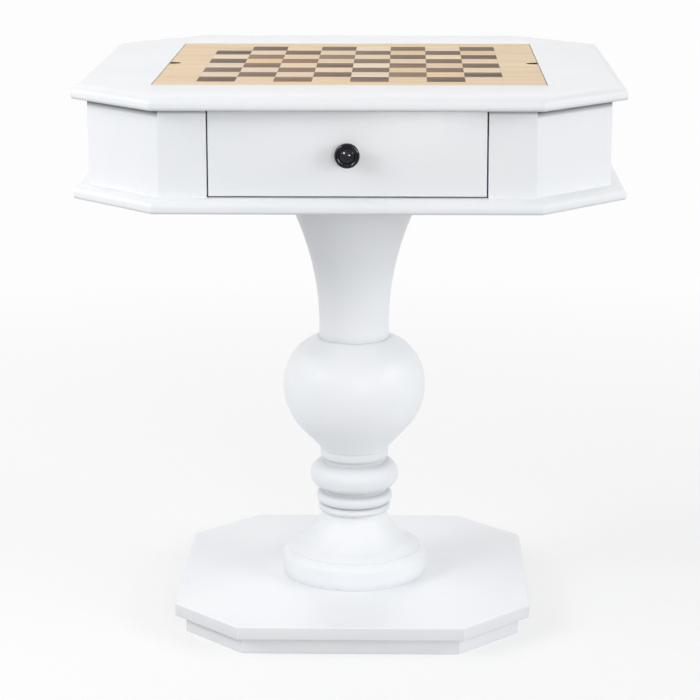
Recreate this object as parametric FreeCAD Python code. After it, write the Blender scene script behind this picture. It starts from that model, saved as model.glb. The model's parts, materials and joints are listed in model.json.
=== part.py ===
"""Octagonal pedestal games table with a lift-out chess board, a well and a drawer.

Millimetres. X runs to the right, Y to the back and Z up. The origin is on the
floor, under the middle of the top. The drawer opens towards -Y.
"""
import FreeCAD, Part
import math
import os

# Eight-sided outlines: half the width across the flats, and the length that a
# corner cut takes off each side.
TOP_HALF = 355.6
TOP_CORNER = 112.0
BASE_HALF = 244.0
BASE_CORNER = 91.8
PLINTH_HALF = 229.7
PLINTH_CORNER = 82.8

# Heights of the main levels above the floor.
PLINTH_TOP = 24.5
BASE_TOP = 42.3
CASE_BOTTOM = 626.0
SLAB_THICK = 18.0
APRON_HEIGHT = 111.0
CASE_FLOOR_TOP = CASE_BOTTOM + SLAB_THICK
SLAB_BOTTOM = CASE_FLOOR_TOP + APRON_HEIGHT
SLAB_TOP = SLAB_BOTTOM + SLAB_THICK

# Moulded edge of both slabs: a quarter ellipse above, a small round below.
EDGE_WIDE = 18.0
EDGE_HIGH = 10.5
EDGE_ROUND = 3.0

# Case under the top.
OVERHANG = 19.5
APRON_THICK = 18.0
FRONT_OPENING_HALF = 175.5
POST_DEPTH = 24.0
CLEAT_SIZE = 20.0
CLEAT_LENGTH = 220.0
CLEAT_SCREW_SPREAD = 0.7
POST_SCREW_SPREAD = 0.4

# Lift-out game board and the opening that it drops into.
BOARD_HALF_X = 253.0
BOARD_HALF_Y = 239.0
BOARD_GAP = 0.8
BOARD_TOP = SLAB_TOP - 1.0
BOARD_REST_GAP = 0.3
FACE_VENEER = 2.0
BACK_VENEER = 0.7
SQUARE = 49.8
SQUARES_A_SIDE = 8
NOTCH_DEPTH = 16.0
NOTCH_WIDE = 20.0

# Well under the game board, laid out for backgammon.
LEDGE = 10.0
WELL_SIDE = 18.0
WELL_FLOOR_THICK = 6.0
WELL_FLOOR_TOP = 730.0
FIELD_THICK = 1.6
BAR_WIDE = 28.0
BAR_TOP = 742.0
POINTS_A_HALF = 6
POINT_SHARE = 0.42

# Drawer.
DRAWER_GAP = 1.9
FRONT_THICK = 19.0
DRAWER_LENGTH = 400.0
DRAWER_HALF = 165.0
DRAWER_SIDE = 12.0
DRAWER_TOP = 716.0
DRAWER_BOTTOM = 660.0
DRAWER_BOTTOM_THICK = 6.0
BACK_LOWER = 6.0
GROOVE = 5.0
TRAVEL = 270.0
DOWEL_RADIUS = 4.0
DOWEL_LENGTH = 24.0
DOWEL_SHARES = (0.3, 0.8)

# Drawer runners, kickers and stops.
RUNNER_TOP = 652.0
RUNNER_HALF_INNER = 148.0
GUIDE_CLEARANCE = 1.5
GUIDE_WIDE = 14.0
GUIDE_TOP = 672.0
GUIDE_SETBACK = 5.0
GUIDE_SPARE = 1.0
RUN_GAP = 0.3
KICKER_GAP = 1.0
KICKER_INNER = 140.0
KICKER_OUTER = 172.0
STOP_DEPTH = 16.0
BUTTON_WIDE = 30.0
BUTTON_THICK = 10.0
BUTTON_TOP = 722.0
BUTTON_HIGH = 32.0
STRIP_DEPTH = 20.0

# Drawer knob.
KNOB_RADIUS = 15.8
KNOB_Z = 699.5
KNOB_STEM_RADIUS = 6.5
KNOB_STEM = 10.0
KNOB_STEM_FLARE = 1.5
KNOB_STEM_TURN = 50.0
KNOB_BACK_TURN = 80.0
KNOB_RIM = 3.4
KNOB_HEAD_BACK = 5.0
KNOB_DOME_RADIUS = 10.4
KNOB_DOME_RISE = 6.0
KNOB_GROOVE_DEPTH = 2.2
KNOB_GROOVE_WIDE = 1.4
KNOB_SCREW_LENGTH = 30.0
KNOB_SCREW_RADIUS = 2.0
KNOB_SCREW_HEAD = 4.5
KNOB_SCREW_HEAD_HIGH = 2.4

# Turned column, from the top down: radii, and heights above the floor.
NECK_RADIUS = 49.0
FLARE_START = 405.0
FLARE_ARC = 390.0
BALL_CREASE = 386.0
BALL_RADIUS = 100.3
BALL_MIDDLE = 318.0
BALL_CAP_WIDE = 65.3
BALL_CAP_HIGH = 71.0
BALL_BOWL_ARC = 91.0
BALL_BOWL_TURN = 43.5
BALL_FILLET = 10.0
BALL_FILLET_END = 14.0
BALL_FOOT_RADIUS = 48.6
COLLAR_RADIUS = 48.2
COLLAR_SWELL = 1.6
COLLAR_BOTTOM = 211.6
COLLAR_GROOVE = 44.4
RING_RADIUS = 62.6
RING_ARC = 19.6
RING_MIDDLE = 186.0
WAIST_RADIUS = 45.8
BEAD_RADIUS = 54.0
BEAD_ARC = 8.8
BEAD_MIDDLE = 153.2
SMALL_BEAD_RADIUS = 51.6
SMALL_BEAD_ARC = 6.0
SMALL_BEAD_MIDDLE = 138.4
FOOT_NECK = 129.0
FOOT_HOLLOW_ARC = 84.0
FOOT_TURN_RADIUS = 77.0
FOOT_TURN_HEIGHT = 87.6
FOOT_SWELL_ARC = 60.0
FOOT_GROOVE_RADIUS = 93.0
FOOT_GROOVE_TOP = 79.4
FOOT_GROOVE = 1.0
FOOT_RADIUS = 101.6
FOOT_SHOULDER = 10.0
FOOT_SHOULDER_TURN = 48.0
FOOT_SHOULDER_MIDDLE = 67.0
SPIGOT_RADIUS = 22.0
SPIGOT_LENGTH = 24.0
SPIGOT_CLEARANCE = 0.2

# Steel rod that clamps the column, with a nut and washer at each end.
ROD_RADIUS = 5.0
ROD_HOLE = 6.0
ROD_END = 1.5
NUT_FLATS = 17.0
NUT_THICK = 8.0
WASHER_RADIUS = 12.0
WASHER_THICK = 2.0
POCKET_RADIUS = 15.0
POCKET_SPARE = 3.0

# Countersunk wood screws.
SCREW_RADIUS = 2.2
SCREW_HEAD = 4.6
SCREW_HEAD_HIGH = 3.0
SCREW_POINT = 4.0
FLOOR_SCREW = 45.0
PLINTH_SCREW = 36.0
FOOT_SCREW = 45.0
COLUMN_SCREW = 60.0
CLEAT_SCREW = 32.0
COLUMN_SCREW_CIRCLE = 80.0
COLUMN_SCREWS = 4
PLINTH_SCREW_CIRCLE = 190.0
PLINTH_SCREWS = 8

# Plan directions of the moulded edges: two pairs of sides, two pairs of corners.
SIDE_ANGLES = (0.0, 90.0)
CORNER_ANGLES = (45.0, 135.0)
# How much shorter a corner cut gets for each millimetre that its outline shrinks.
CORNER_SHRINK = 2.0 - math.sqrt(2.0)

Z_AXIS = FreeCAD.Vector(0, 0, 1)
Y_AXIS = FreeCAD.Vector(0, 1, 0)
ORIGIN = FreeCAD.Vector(0, 0, 0)


def box(x0, x1, y0, y1, z0, z1):
    """Block between two corners, given in any order."""
    low = FreeCAD.Vector(min(x0, x1), min(y0, y1), min(z0, z1))
    return Part.makeBox(abs(x1 - x0), abs(y1 - y0), abs(z1 - z0), low)


def prism(points, z0, z1):
    """Upright prism over a plan outline."""
    corners = [FreeCAD.Vector(x, y, z0) for x, y in points]
    face = Part.Face(Part.makePolygon(corners + corners[:1]))
    return face.extrude(FreeCAD.Vector(0, 0, z1 - z0))


def cylinder(radius, z0, z1, x=0.0, y=0.0):
    """Upright cylinder."""
    return Part.makeCylinder(radius, z1 - z0, FreeCAD.Vector(x, y, z0))


def octagon(half, corner):
    """Plan corners of a square with cut corners, anticlockwise from the front right."""
    near = half - corner
    return [(near, -half), (half, -near), (half, near), (near, half),
            (-near, half), (-half, near), (-half, -near), (-near, -half)]


def mirrored(shape):
    """The same shape on the other side of the middle, left for right."""
    return shape.mirror(ORIGIN, FreeCAD.Vector(1, 0, 0))


def on_circle(radius, count, start):
    """Plan points spread evenly round a circle, the first at a start angle in degrees."""
    turns = [math.radians(start + 360.0 * step / count) for step in range(count)]
    return [(radius * math.cos(turn), radius * math.sin(turn)) for turn in turns]


class Outline:
    """Half section of a turned piece, drawn as radius and height, point to point."""

    def __init__(self, radius, height):
        self.here = FreeCAD.Vector(radius, 0, height)
        self.start = self.here
        self.edges = []

    def line(self, radius, height):
        """Straight run to a point."""
        point = FreeCAD.Vector(radius, 0, height)
        if self.here.distanceToPoint(point) > 1e-6:
            self.edges.append(Part.LineSegment(self.here, point).toShape())
        self.here = point

    def arc(self, centre, wide, high, begin, end):
        """Arc of a circle or of an upright ellipse, by angles from the +radius side."""
        def at(angle):
            turn = math.radians(angle)
            return FreeCAD.Vector(centre[0] + wide * math.cos(turn), 0,
                                  centre[1] + high * math.sin(turn))
        self.line(at(begin).x, at(begin).z)
        if abs(wide - high) < 1e-9:
            curve = Part.Arc(at(begin), at((begin + end) / 2.0), at(end))
            self.edges.append(curve.toShape())
        else:
            self.edges.append(ellipse_edge(centre, wide, high, at(begin), at(end)))
        self.here = at(end)

    def bow(self, radius, height, arc_radius, hollow):
        """Arc to a point, of a given radius, bowed towards the axis when hollow."""
        point = FreeCAD.Vector(radius, 0, height)
        chord = point - self.here
        rise = arc_radius - math.sqrt(arc_radius ** 2 - (chord.Length / 2.0) ** 2)
        outward = FreeCAD.Vector(chord.z, 0, -chord.x).normalize()
        middle = (self.here + point) / 2.0 + outward * (-rise if hollow else rise)
        self.edges.append(Part.Arc(self.here, middle, point).toShape())
        self.here = point

    def turned(self):
        """Close the section along its start and turn it round the Z axis."""
        self.line(self.start.x, self.start.z)
        face = Part.Face(Part.Wire(self.edges))
        return face.revolve(ORIGIN, Z_AXIS, 360)


def ellipse_edge(centre, wide, high, begin, end):
    """Edge of an ellipse in the XZ plane, with its axes along X and Z."""
    middle = FreeCAD.Vector(centre[0], 0, centre[1])
    side = middle + FreeCAD.Vector(wide, 0, 0)
    crown = middle + FreeCAD.Vector(0, 0, high)
    far, near = (side, crown) if wide > high else (crown, side)
    ellipse = Part.Ellipse(far, near, middle)
    first = ellipse.parameter(begin)
    last = ellipse.parameter(end)
    edge = Part.ArcOfEllipse(ellipse, min(first, last), max(first, last)).toShape()
    return edge


def edge_section(half, z0):
    """Section across a slab, half wide to each side, with the moulded edge on both."""
    top = z0 + SLAB_THICK
    shoulder = top - EDGE_HIGH
    flat = half - EDGE_WIDE
    turn = EDGE_ROUND * (1.0 - math.sqrt(0.5))

    def point(x, z):
        return FreeCAD.Vector(x, 0, z)

    right = [
        Part.LineSegment(point(0, z0), point(half - EDGE_ROUND, z0)).toShape(),
        Part.Arc(point(half - EDGE_ROUND, z0), point(half - turn, z0 + turn),
                 point(half, z0 + EDGE_ROUND)).toShape(),
        Part.LineSegment(point(half, z0 + EDGE_ROUND), point(half, shoulder)).toShape(),
        ellipse_edge((flat, shoulder), EDGE_WIDE, EDGE_HIGH, point(half, shoulder), point(flat, top)),
        Part.LineSegment(point(flat, top), point(0, top)).toShape(),
    ]
    left = [mirrored(edge) for edge in right]
    wire = Part.Wire(Part.__sortEdges__(right + left))
    return Part.Face(wire)


def moulded_slab(z0):
    """Eight-sided slab with its moulded edge mitred at the corners.

    It is what four long bars with the moulded section have in common: one bar
    for each pair of opposite sides.
    """
    reach = 2.0 * TOP_HALF
    corner_half = (2.0 * TOP_HALF - TOP_CORNER) / math.sqrt(2.0)
    slab = None
    for half, angles in ((TOP_HALF, SIDE_ANGLES), (corner_half, CORNER_ANGLES)):
        for angle in angles:
            bar = edge_section(half, z0).extrude(FreeCAD.Vector(0, 2.0 * reach, 0))
            bar.translate(FreeCAD.Vector(0, -reach, 0))
            bar.rotate(ORIGIN, Z_AXIS, angle)
            slab = bar if slab is None else slab.common(bar)
    return slab


def wood_screw(x, y, head_z, length, upward):
    """Countersunk screw standing on its axis, its head flush at head_z."""
    sign = 1.0 if upward else -1.0
    outline = Outline(0, 0)
    outline.line(SCREW_HEAD, 0)
    outline.line(SCREW_RADIUS, sign * SCREW_HEAD_HIGH)
    outline.line(SCREW_RADIUS, sign * (length - SCREW_POINT))
    outline.line(0, sign * length)
    screw = outline.turned()
    screw.translate(FreeCAD.Vector(x, y, head_z))
    return screw


def screw_group(places, head_z, length, upward):
    """Identical screws at several plan points."""
    return Part.makeCompound([wood_screw(x, y, head_z, length, upward) for x, y in places])


def column_screw_places():
    """Plan points of the screws into either end of the column, between the sides' middles."""
    return on_circle(COLUMN_SCREW_CIRCLE, COLUMN_SCREWS, 180.0 / COLUMN_SCREWS)


def foot_screw_group():
    """Screws from under the base slab up into the column's foot."""
    return screw_group(column_screw_places(), PLINTH_TOP, FOOT_SCREW, True)


def column_screw_group():
    """Screws from the case floor down into the column's neck."""
    return screw_group(column_screw_places(), CASE_FLOOR_TOP, COLUMN_SCREW, False)


def base():
    """Two stacked eight-sided slabs that stand on the floor, and their screws."""
    plinth = prism(octagon(PLINTH_HALF, PLINTH_CORNER), 0, PLINTH_TOP)
    slab = prism(octagon(BASE_HALF, BASE_CORNER), PLINTH_TOP, BASE_TOP)
    places = on_circle(PLINTH_SCREW_CIRCLE, PLINTH_SCREWS, 180.0 / PLINTH_SCREWS)
    plinth_screws = screw_group(places, 0, PLINTH_SCREW, True)
    foot_screws = foot_screw_group()
    pocket_bottom = PLINTH_TOP - WASHER_THICK - NUT_THICK - ROD_END - POCKET_SPARE
    plinth = plinth.cut(cylinder(POCKET_RADIUS, pocket_bottom, PLINTH_TOP))
    slab = slab.cut(cylinder(ROD_HOLE, PLINTH_TOP, BASE_TOP))
    return {
        "base_plinth": plinth.cut(plinth_screws),
        "base_slab": slab.cut(plinth_screws).cut(foot_screws),
        "plinth_screws": plinth_screws,
        "foot_screws": foot_screws,
    }


def foot_outline():
    """Bell foot: rim, shoulder, fine groove, swell and hollow flare up to the waist."""
    outline = Outline(0, BASE_TOP)
    outline.line(FOOT_RADIUS, BASE_TOP)
    outline.arc((FOOT_RADIUS - FOOT_SHOULDER, FOOT_SHOULDER_MIDDLE), FOOT_SHOULDER, FOOT_SHOULDER,
                0, FOOT_SHOULDER_TURN)
    outline.line(FOOT_GROOVE_RADIUS + FOOT_GROOVE, FOOT_GROOVE_TOP - FOOT_GROOVE)
    outline.line(FOOT_GROOVE_RADIUS - FOOT_GROOVE / 2.0, FOOT_GROOVE_TOP - FOOT_GROOVE)
    outline.line(FOOT_GROOVE_RADIUS - FOOT_GROOVE / 2.0, FOOT_GROOVE_TOP)
    outline.bow(FOOT_TURN_RADIUS, FOOT_TURN_HEIGHT, FOOT_SWELL_ARC, False)
    outline.bow(WAIST_RADIUS, FOOT_NECK, FOOT_HOLLOW_ARC, True)
    outline.line(WAIST_RADIUS, SMALL_BEAD_MIDDLE - SMALL_BEAD_ARC)
    outline.line(0, SMALL_BEAD_MIDDLE - SMALL_BEAD_ARC)
    return outline


def ring_outline():
    """Collar, big ring and the two beads under it, turned in one piece."""
    bottom = SMALL_BEAD_MIDDLE - SMALL_BEAD_ARC
    outline = Outline(0, bottom)
    for radius, arc, middle in ((SMALL_BEAD_RADIUS, SMALL_BEAD_ARC, SMALL_BEAD_MIDDLE),
                                (BEAD_RADIUS, BEAD_ARC, BEAD_MIDDLE),
                                (RING_RADIUS, RING_ARC, RING_MIDDLE)):
        centre = radius - arc
        reach = math.degrees(math.acos(max(WAIST_RADIUS - centre, 0.0) / arc))
        outline.arc((centre, middle), arc, arc, -reach, reach)
        outline.line(WAIST_RADIUS, outline.here.z)
    outline.line(COLLAR_GROOVE, outline.here.z)
    outline.line(COLLAR_GROOVE, COLLAR_BOTTOM)
    top = ball_bottom()
    half = (top - COLLAR_BOTTOM) / 2.0
    edge = COLLAR_RADIUS - COLLAR_SWELL
    outline.arc((edge, COLLAR_BOTTOM + half), COLLAR_SWELL, half, -90, 90)
    outline.line(edge, top)
    outline.line(0, top)
    return outline


def bowl_end():
    """Where the round of the ball's lower half ends and its fillet begins."""
    turn = math.radians(BALL_BOWL_TURN)
    radius = BALL_RADIUS - BALL_BOWL_ARC * (1.0 - math.cos(turn))
    return radius, BALL_MIDDLE - BALL_BOWL_ARC * math.sin(turn)


def fillet_centre():
    """Middle of the hollow fillet that brings the ball down onto its collar."""
    turn = math.radians(BALL_BOWL_TURN)
    radius, height = bowl_end()
    centre_radius = BALL_FOOT_RADIUS + BALL_FILLET * math.cos(math.radians(BALL_FILLET_END))
    start_radius = centre_radius - BALL_FILLET * math.cos(turn)
    run = (radius - start_radius) / math.sin(turn)
    return centre_radius, height - run * math.cos(turn) - BALL_FILLET * math.sin(turn)


def ball_bottom():
    """Height at which the ball meets its collar."""
    return fillet_centre()[1] + BALL_FILLET * math.sin(math.radians(BALL_FILLET_END))


def ball_outline():
    """Swollen middle of the column: an elliptical cap over a rounder bowl."""
    outline = Outline(0, ball_bottom())
    outline.line(BALL_FOOT_RADIUS, ball_bottom())
    outline.arc(fillet_centre(), BALL_FILLET, BALL_FILLET, 180 - BALL_FILLET_END, 180 - BALL_BOWL_TURN)
    outline.arc((BALL_RADIUS - BALL_BOWL_ARC, BALL_MIDDLE), BALL_BOWL_ARC, BALL_BOWL_ARC,
                -BALL_BOWL_TURN, 0)
    cap_centre = BALL_RADIUS - BALL_CAP_WIDE
    cap_end = math.degrees(math.asin((BALL_CREASE - BALL_MIDDLE) / BALL_CAP_HIGH))
    outline.arc((cap_centre, BALL_MIDDLE), BALL_CAP_WIDE, BALL_CAP_HIGH, 0, cap_end)
    outline.line(0, BALL_CREASE)
    return outline


def neck_outline():
    """Straight neck that flares like a trumpet up to the case."""
    outline = Outline(0, BALL_CREASE)
    outline.line(NECK_RADIUS, BALL_CREASE)
    rise = math.degrees(math.asin((CASE_BOTTOM - FLARE_START) / FLARE_ARC))
    outline.arc((NECK_RADIUS + FLARE_ARC, FLARE_START), FLARE_ARC, FLARE_ARC, 180, 180 - rise)
    outline.line(0, CASE_BOTTOM)
    return outline


def column():
    """Four turned pieces, plugged into each other and bored for the rod."""
    bore = cylinder(ROD_HOLE, 0, SLAB_TOP)
    outlines = {"column_foot": foot_outline(), "column_rings": ring_outline(),
                "column_ball": ball_outline(), "column_neck": neck_outline()}
    pieces = {name: outline.turned() for name, outline in outlines.items()}
    joints = (("column_rings", "column_foot", SMALL_BEAD_MIDDLE - SMALL_BEAD_ARC),
              ("column_ball", "column_rings", ball_bottom()),
              ("column_neck", "column_ball", BALL_CREASE))
    for upper, lower, seam in joints:
        spigot = cylinder(SPIGOT_RADIUS - SPIGOT_CLEARANCE, seam - SPIGOT_LENGTH, seam + SPIGOT_CLEARANCE)
        socket = cylinder(SPIGOT_RADIUS, seam - SPIGOT_LENGTH - SPIGOT_CLEARANCE, seam)
        pieces[upper] = pieces[upper].fuse(spigot).removeSplitter()
        pieces[lower] = pieces[lower].cut(socket)
    pieces = {name: piece.cut(bore) for name, piece in pieces.items()}
    pieces["column_screws"] = column_screw_group()
    pieces["column_neck"] = pieces["column_neck"].cut(pieces["column_screws"])
    pieces["column_foot"] = pieces["column_foot"].cut(foot_screw_group())
    return pieces


def hexagon_nut(z0):
    """Hexagon nut bored for the rod."""
    reach = NUT_FLATS / math.sqrt(3.0)
    blank = prism(on_circle(reach, 6, 0.0), z0, z0 + NUT_THICK)
    return blank.cut(cylinder(ROD_RADIUS, z0, z0 + NUT_THICK))


def washer(z0):
    """Flat washer round the rod."""
    ring = cylinder(WASHER_RADIUS, z0, z0 + WASHER_THICK)
    return ring.cut(cylinder(ROD_HOLE, z0, z0 + WASHER_THICK))


def upper_pocket_bottom():
    """Height of the seat for the upper washer, sunk in the case floor."""
    return CASE_FLOOR_TOP - WASHER_THICK - NUT_THICK - ROD_END


def tie_rod():
    """Rod through the column with its two nuts and two washers."""
    seat = upper_pocket_bottom()
    lower_nut = PLINTH_TOP - WASHER_THICK - NUT_THICK
    upper_nut = seat + WASHER_THICK
    rod = cylinder(ROD_RADIUS, lower_nut - ROD_END, CASE_FLOOR_TOP)
    return {
        "tie_rod": rod,
        "tie_rod_nuts": Part.makeCompound([hexagon_nut(lower_nut), hexagon_nut(upper_nut)]),
        "tie_rod_washers": Part.makeCompound([washer(PLINTH_TOP - WASHER_THICK), washer(seat)]),
    }


def apron_outlines():
    """Outer and inner plan corners of the ring of aprons."""
    outer_corner = TOP_CORNER - CORNER_SHRINK * OVERHANG
    outer = octagon(TOP_HALF - OVERHANG, outer_corner)
    inner = octagon(TOP_HALF - OVERHANG - APRON_THICK, outer_corner - CORNER_SHRINK * APRON_THICK)
    return outer, inner


def apron_panel(index):
    """One side of the ring, mitred where it meets its neighbours."""
    outer, inner = apron_outlines()
    after = (index + 1) % len(outer)
    corners = [outer[index], outer[after], inner[after], inner[index]]
    return prism(corners, CASE_FLOOR_TOP, SLAB_BOTTOM)


def front_stile():
    """Upright between the drawer and the right-hand corner panel."""
    outer, inner = apron_outlines()
    face = outer[0][1]
    corners = [(FRONT_OPENING_HALF, face), outer[0], inner[0], (FRONT_OPENING_HALF, face + APRON_THICK)]
    return prism(corners, CASE_FLOOR_TOP, SLAB_BOTTOM)


def corner_post(index):
    """Block glued behind a corner panel, full height, square to the panel."""
    inner = apron_outlines()[1]
    first, last = inner[index], inner[(index + 1) % len(inner)]
    middle = ((first[0] + last[0]) / 2.0, (first[1] + last[1]) / 2.0)
    away = math.hypot(middle[0], middle[1])
    step = (-middle[0] / away * POST_DEPTH, -middle[1] / away * POST_DEPTH)
    corners = [first, last, (last[0] + step[0], last[1] + step[1]),
               (first[0] + step[0], first[1] + step[1])]
    return prism(corners, CASE_FLOOR_TOP, SLAB_BOTTOM), corners


def between(a, b, share):
    """Plan point at a share of the way from one point to another."""
    return (a[0] + (b[0] - a[0]) * share, a[1] + (b[1] - a[1]) * share)


def post_screw_places(corners):
    """Two screw points across the middle of a post's plan."""
    first = between(corners[0], corners[3], 0.5)
    last = between(corners[1], corners[2], 0.5)
    half = POST_SCREW_SPREAD / 2.0
    return [between(first, last, 0.5 - half), between(first, last, 0.5 + half)]


def top_cleats():
    """Three strips inside the aprons that hold the top down, with their screws."""
    inside = TOP_HALF - OVERHANG - APRON_THICK
    low = SLAB_BOTTOM - CLEAT_SIZE
    half = CLEAT_LENGTH / 2.0
    right = box(inside - CLEAT_SIZE, inside, -half, half, low, SLAB_BOTTOM)
    back = box(-half, half, inside - CLEAT_SIZE, inside, low, SLAB_BOTTOM)
    middle = inside - CLEAT_SIZE / 2.0
    spread = half * CLEAT_SCREW_SPREAD
    places = [(middle, -spread), (middle, spread), (-middle, -spread), (-middle, spread),
              (-spread, middle), (spread, middle)]
    screws = screw_group(places, low, CLEAT_SCREW, True)
    cleats = Part.makeCompound([mirrored(right).cut(screws), right.cut(screws), back.cut(screws)])
    return cleats, screws


def case():
    """Floor, aprons, posts and cleats of the box under the top."""
    right_stile = front_stile()
    parts = {"front_stile_left": mirrored(right_stile), "front_stile_right": right_stile}
    sides = {"corner_panel_front_right": 0, "apron_right": 1, "corner_panel_back_right": 2,
             "apron_back": 3, "corner_panel_back_left": 4, "apron_left": 5,
             "corner_panel_front_left": 6}
    for name, index in sides.items():
        parts[name] = apron_panel(index)
    posts = [corner_post(index) for index in (0, 2, 4, 6)]
    places = [place for post, corners in posts for place in post_screw_places(corners)]
    floor_screws = screw_group(places, CASE_BOTTOM, FLOOR_SCREW, True)
    floor = moulded_slab(CASE_BOTTOM)
    floor = floor.cut(cylinder(ROD_HOLE, CASE_BOTTOM, CASE_FLOOR_TOP))
    floor = floor.cut(cylinder(POCKET_RADIUS, upper_pocket_bottom(), CASE_FLOOR_TOP))
    cleats, cleat_screws = top_cleats()
    parts["case_floor"] = floor.cut(floor_screws).cut(column_screw_group())
    parts["corner_posts"] = Part.makeCompound([post.cut(floor_screws) for post, corners in posts])
    parts["floor_screws"] = floor_screws
    parts["top_cleats"] = cleats
    parts["cleat_screws"] = cleat_screws
    return parts


def opening_half():
    """Half sizes of the opening in the top, in X and Y."""
    return BOARD_HALF_X + BOARD_GAP, BOARD_HALF_Y + BOARD_GAP


def top_slab():
    """Moulded top with the opening for the game board."""
    half_x, half_y = opening_half()
    slab = moulded_slab(SLAB_BOTTOM)
    slab = slab.cut(box(-half_x, half_x, -half_y, half_y, SLAB_BOTTOM, SLAB_TOP))
    return slab.cut(top_cleats()[1])


def well_inner_half():
    """Half sizes of the inside of the well, in X and Y."""
    half_x, half_y = opening_half()
    return half_x - LEDGE, half_y - LEDGE


def well_point(place, at_back):
    """One long triangle of the backgammon field, by its place from the left."""
    inner_x, inner_y = well_inner_half()
    pitch = (inner_x - BAR_WIDE / 2.0) / POINTS_A_HALF
    left = -inner_x + place * pitch
    if place >= POINTS_A_HALF:
        left = BAR_WIDE / 2.0 + (place - POINTS_A_HALF) * pitch
    foot = inner_y if at_back else -inner_y
    tip = foot * (1.0 - 2.0 * POINT_SHARE)
    corners = [(left, foot), (left + pitch, foot), (left + pitch / 2.0, tip)]
    return prism(corners, WELL_FLOOR_TOP, WELL_FLOOR_TOP + FIELD_THICK)


def well():
    """Shallow box under the game board: its sides carry the board on a ledge."""
    inner_x, inner_y = well_inner_half()
    outer_x, outer_y = inner_x + WELL_SIDE, inner_y + WELL_SIDE
    right = box(inner_x, outer_x, -inner_y, inner_y, WELL_FLOOR_TOP, SLAB_BOTTOM)
    front = box(-outer_x, outer_x, -outer_y, -inner_y, WELL_FLOOR_TOP, SLAB_BOTTOM)
    back = box(-outer_x, outer_x, inner_y, outer_y, WELL_FLOOR_TOP, SLAB_BOTTOM)
    floor = box(-outer_x, outer_x, -outer_y, outer_y, WELL_FLOOR_TOP - WELL_FLOOR_THICK, WELL_FLOOR_TOP)
    field = box(-inner_x, inner_x, -inner_y, inner_y, WELL_FLOOR_TOP, WELL_FLOOR_TOP + FIELD_THICK)
    places = range(2 * POINTS_A_HALF)
    # Colours alternate along each edge, and face their opposites across the field.
    dark = Part.makeCompound([well_point(place, place % 2 == 0) for place in places])
    light = Part.makeCompound([well_point(place, place % 2 == 1) for place in places])
    bar = box(-BAR_WIDE / 2.0, BAR_WIDE / 2.0, -inner_y, inner_y, WELL_FLOOR_TOP + FIELD_THICK, BAR_TOP)
    return {
        "well_side_left": mirrored(right),
        "well_side_right": right,
        "well_side_front": front,
        "well_side_back": back,
        "well_floor": floor,
        "well_field": field.cut(dark).cut(light),
        "well_points_dark": dark,
        "well_points_light": light,
        "well_bar": bar,
    }


def front_face():
    """Plane of the drawer's front and of the stiles beside it."""
    return -(TOP_HALF - OVERHANG)


def drawer_guides():
    """Runners, kickers, rear stops and the strip that catches the stop button."""
    box_front = front_face() + FRONT_THICK
    box_back = box_front + DRAWER_LENGTH
    guide = DRAWER_HALF + GUIDE_CLEARANCE
    near, far = box_front + GUIDE_SETBACK, box_back + STOP_DEPTH + GUIDE_SPARE
    runner = box(RUNNER_HALF_INNER, guide, near, far, CASE_FLOOR_TOP, RUNNER_TOP)
    runner = runner.fuse(box(guide, guide + GUIDE_WIDE, near, far, CASE_FLOOR_TOP, GUIDE_TOP))
    runner = runner.removeSplitter()
    under_well = WELL_FLOOR_TOP - WELL_FLOOR_THICK
    kicker_low = DRAWER_TOP + KICKER_GAP
    kicker_front = -well_inner_half()[1]
    kicker = box(KICKER_INNER, KICKER_OUTER, kicker_front, box_back, kicker_low, under_well)
    stop = box(RUNNER_HALF_INNER, DRAWER_HALF, box_back + RUN_GAP, box_back + STOP_DEPTH,
               RUNNER_TOP, GUIDE_TOP)
    button_front = box_back - DRAWER_SIDE - BUTTON_THICK
    strip_back = button_front - TRAVEL - RUN_GAP
    strip = box(-KICKER_INNER, KICKER_INNER, strip_back - STRIP_DEPTH, strip_back, kicker_low, under_well)
    return {
        "drawer_runner_left": mirrored(runner),
        "drawer_runner_right": runner,
        "drawer_kickers": Part.makeCompound([mirrored(kicker), kicker]),
        "drawer_stops": Part.makeCompound([mirrored(stop), stop]),
        "stop_strip": strip,
    }


def drawer_dowels(y0):
    """Dowels lying along Y that pin the front to the ends of the two sides."""
    middle = DRAWER_HALF - DRAWER_SIDE / 2.0
    heights = [RUNNER_TOP + share * (DRAWER_TOP - RUNNER_TOP) for share in DOWEL_SHARES]
    start = y0 - DOWEL_LENGTH / 2.0
    return Part.makeCompound([
        Part.makeCylinder(DOWEL_RADIUS, DOWEL_LENGTH, FreeCAD.Vector(x, start, z), Y_AXIS)
        for x in (-middle, middle) for z in heights])


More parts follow.
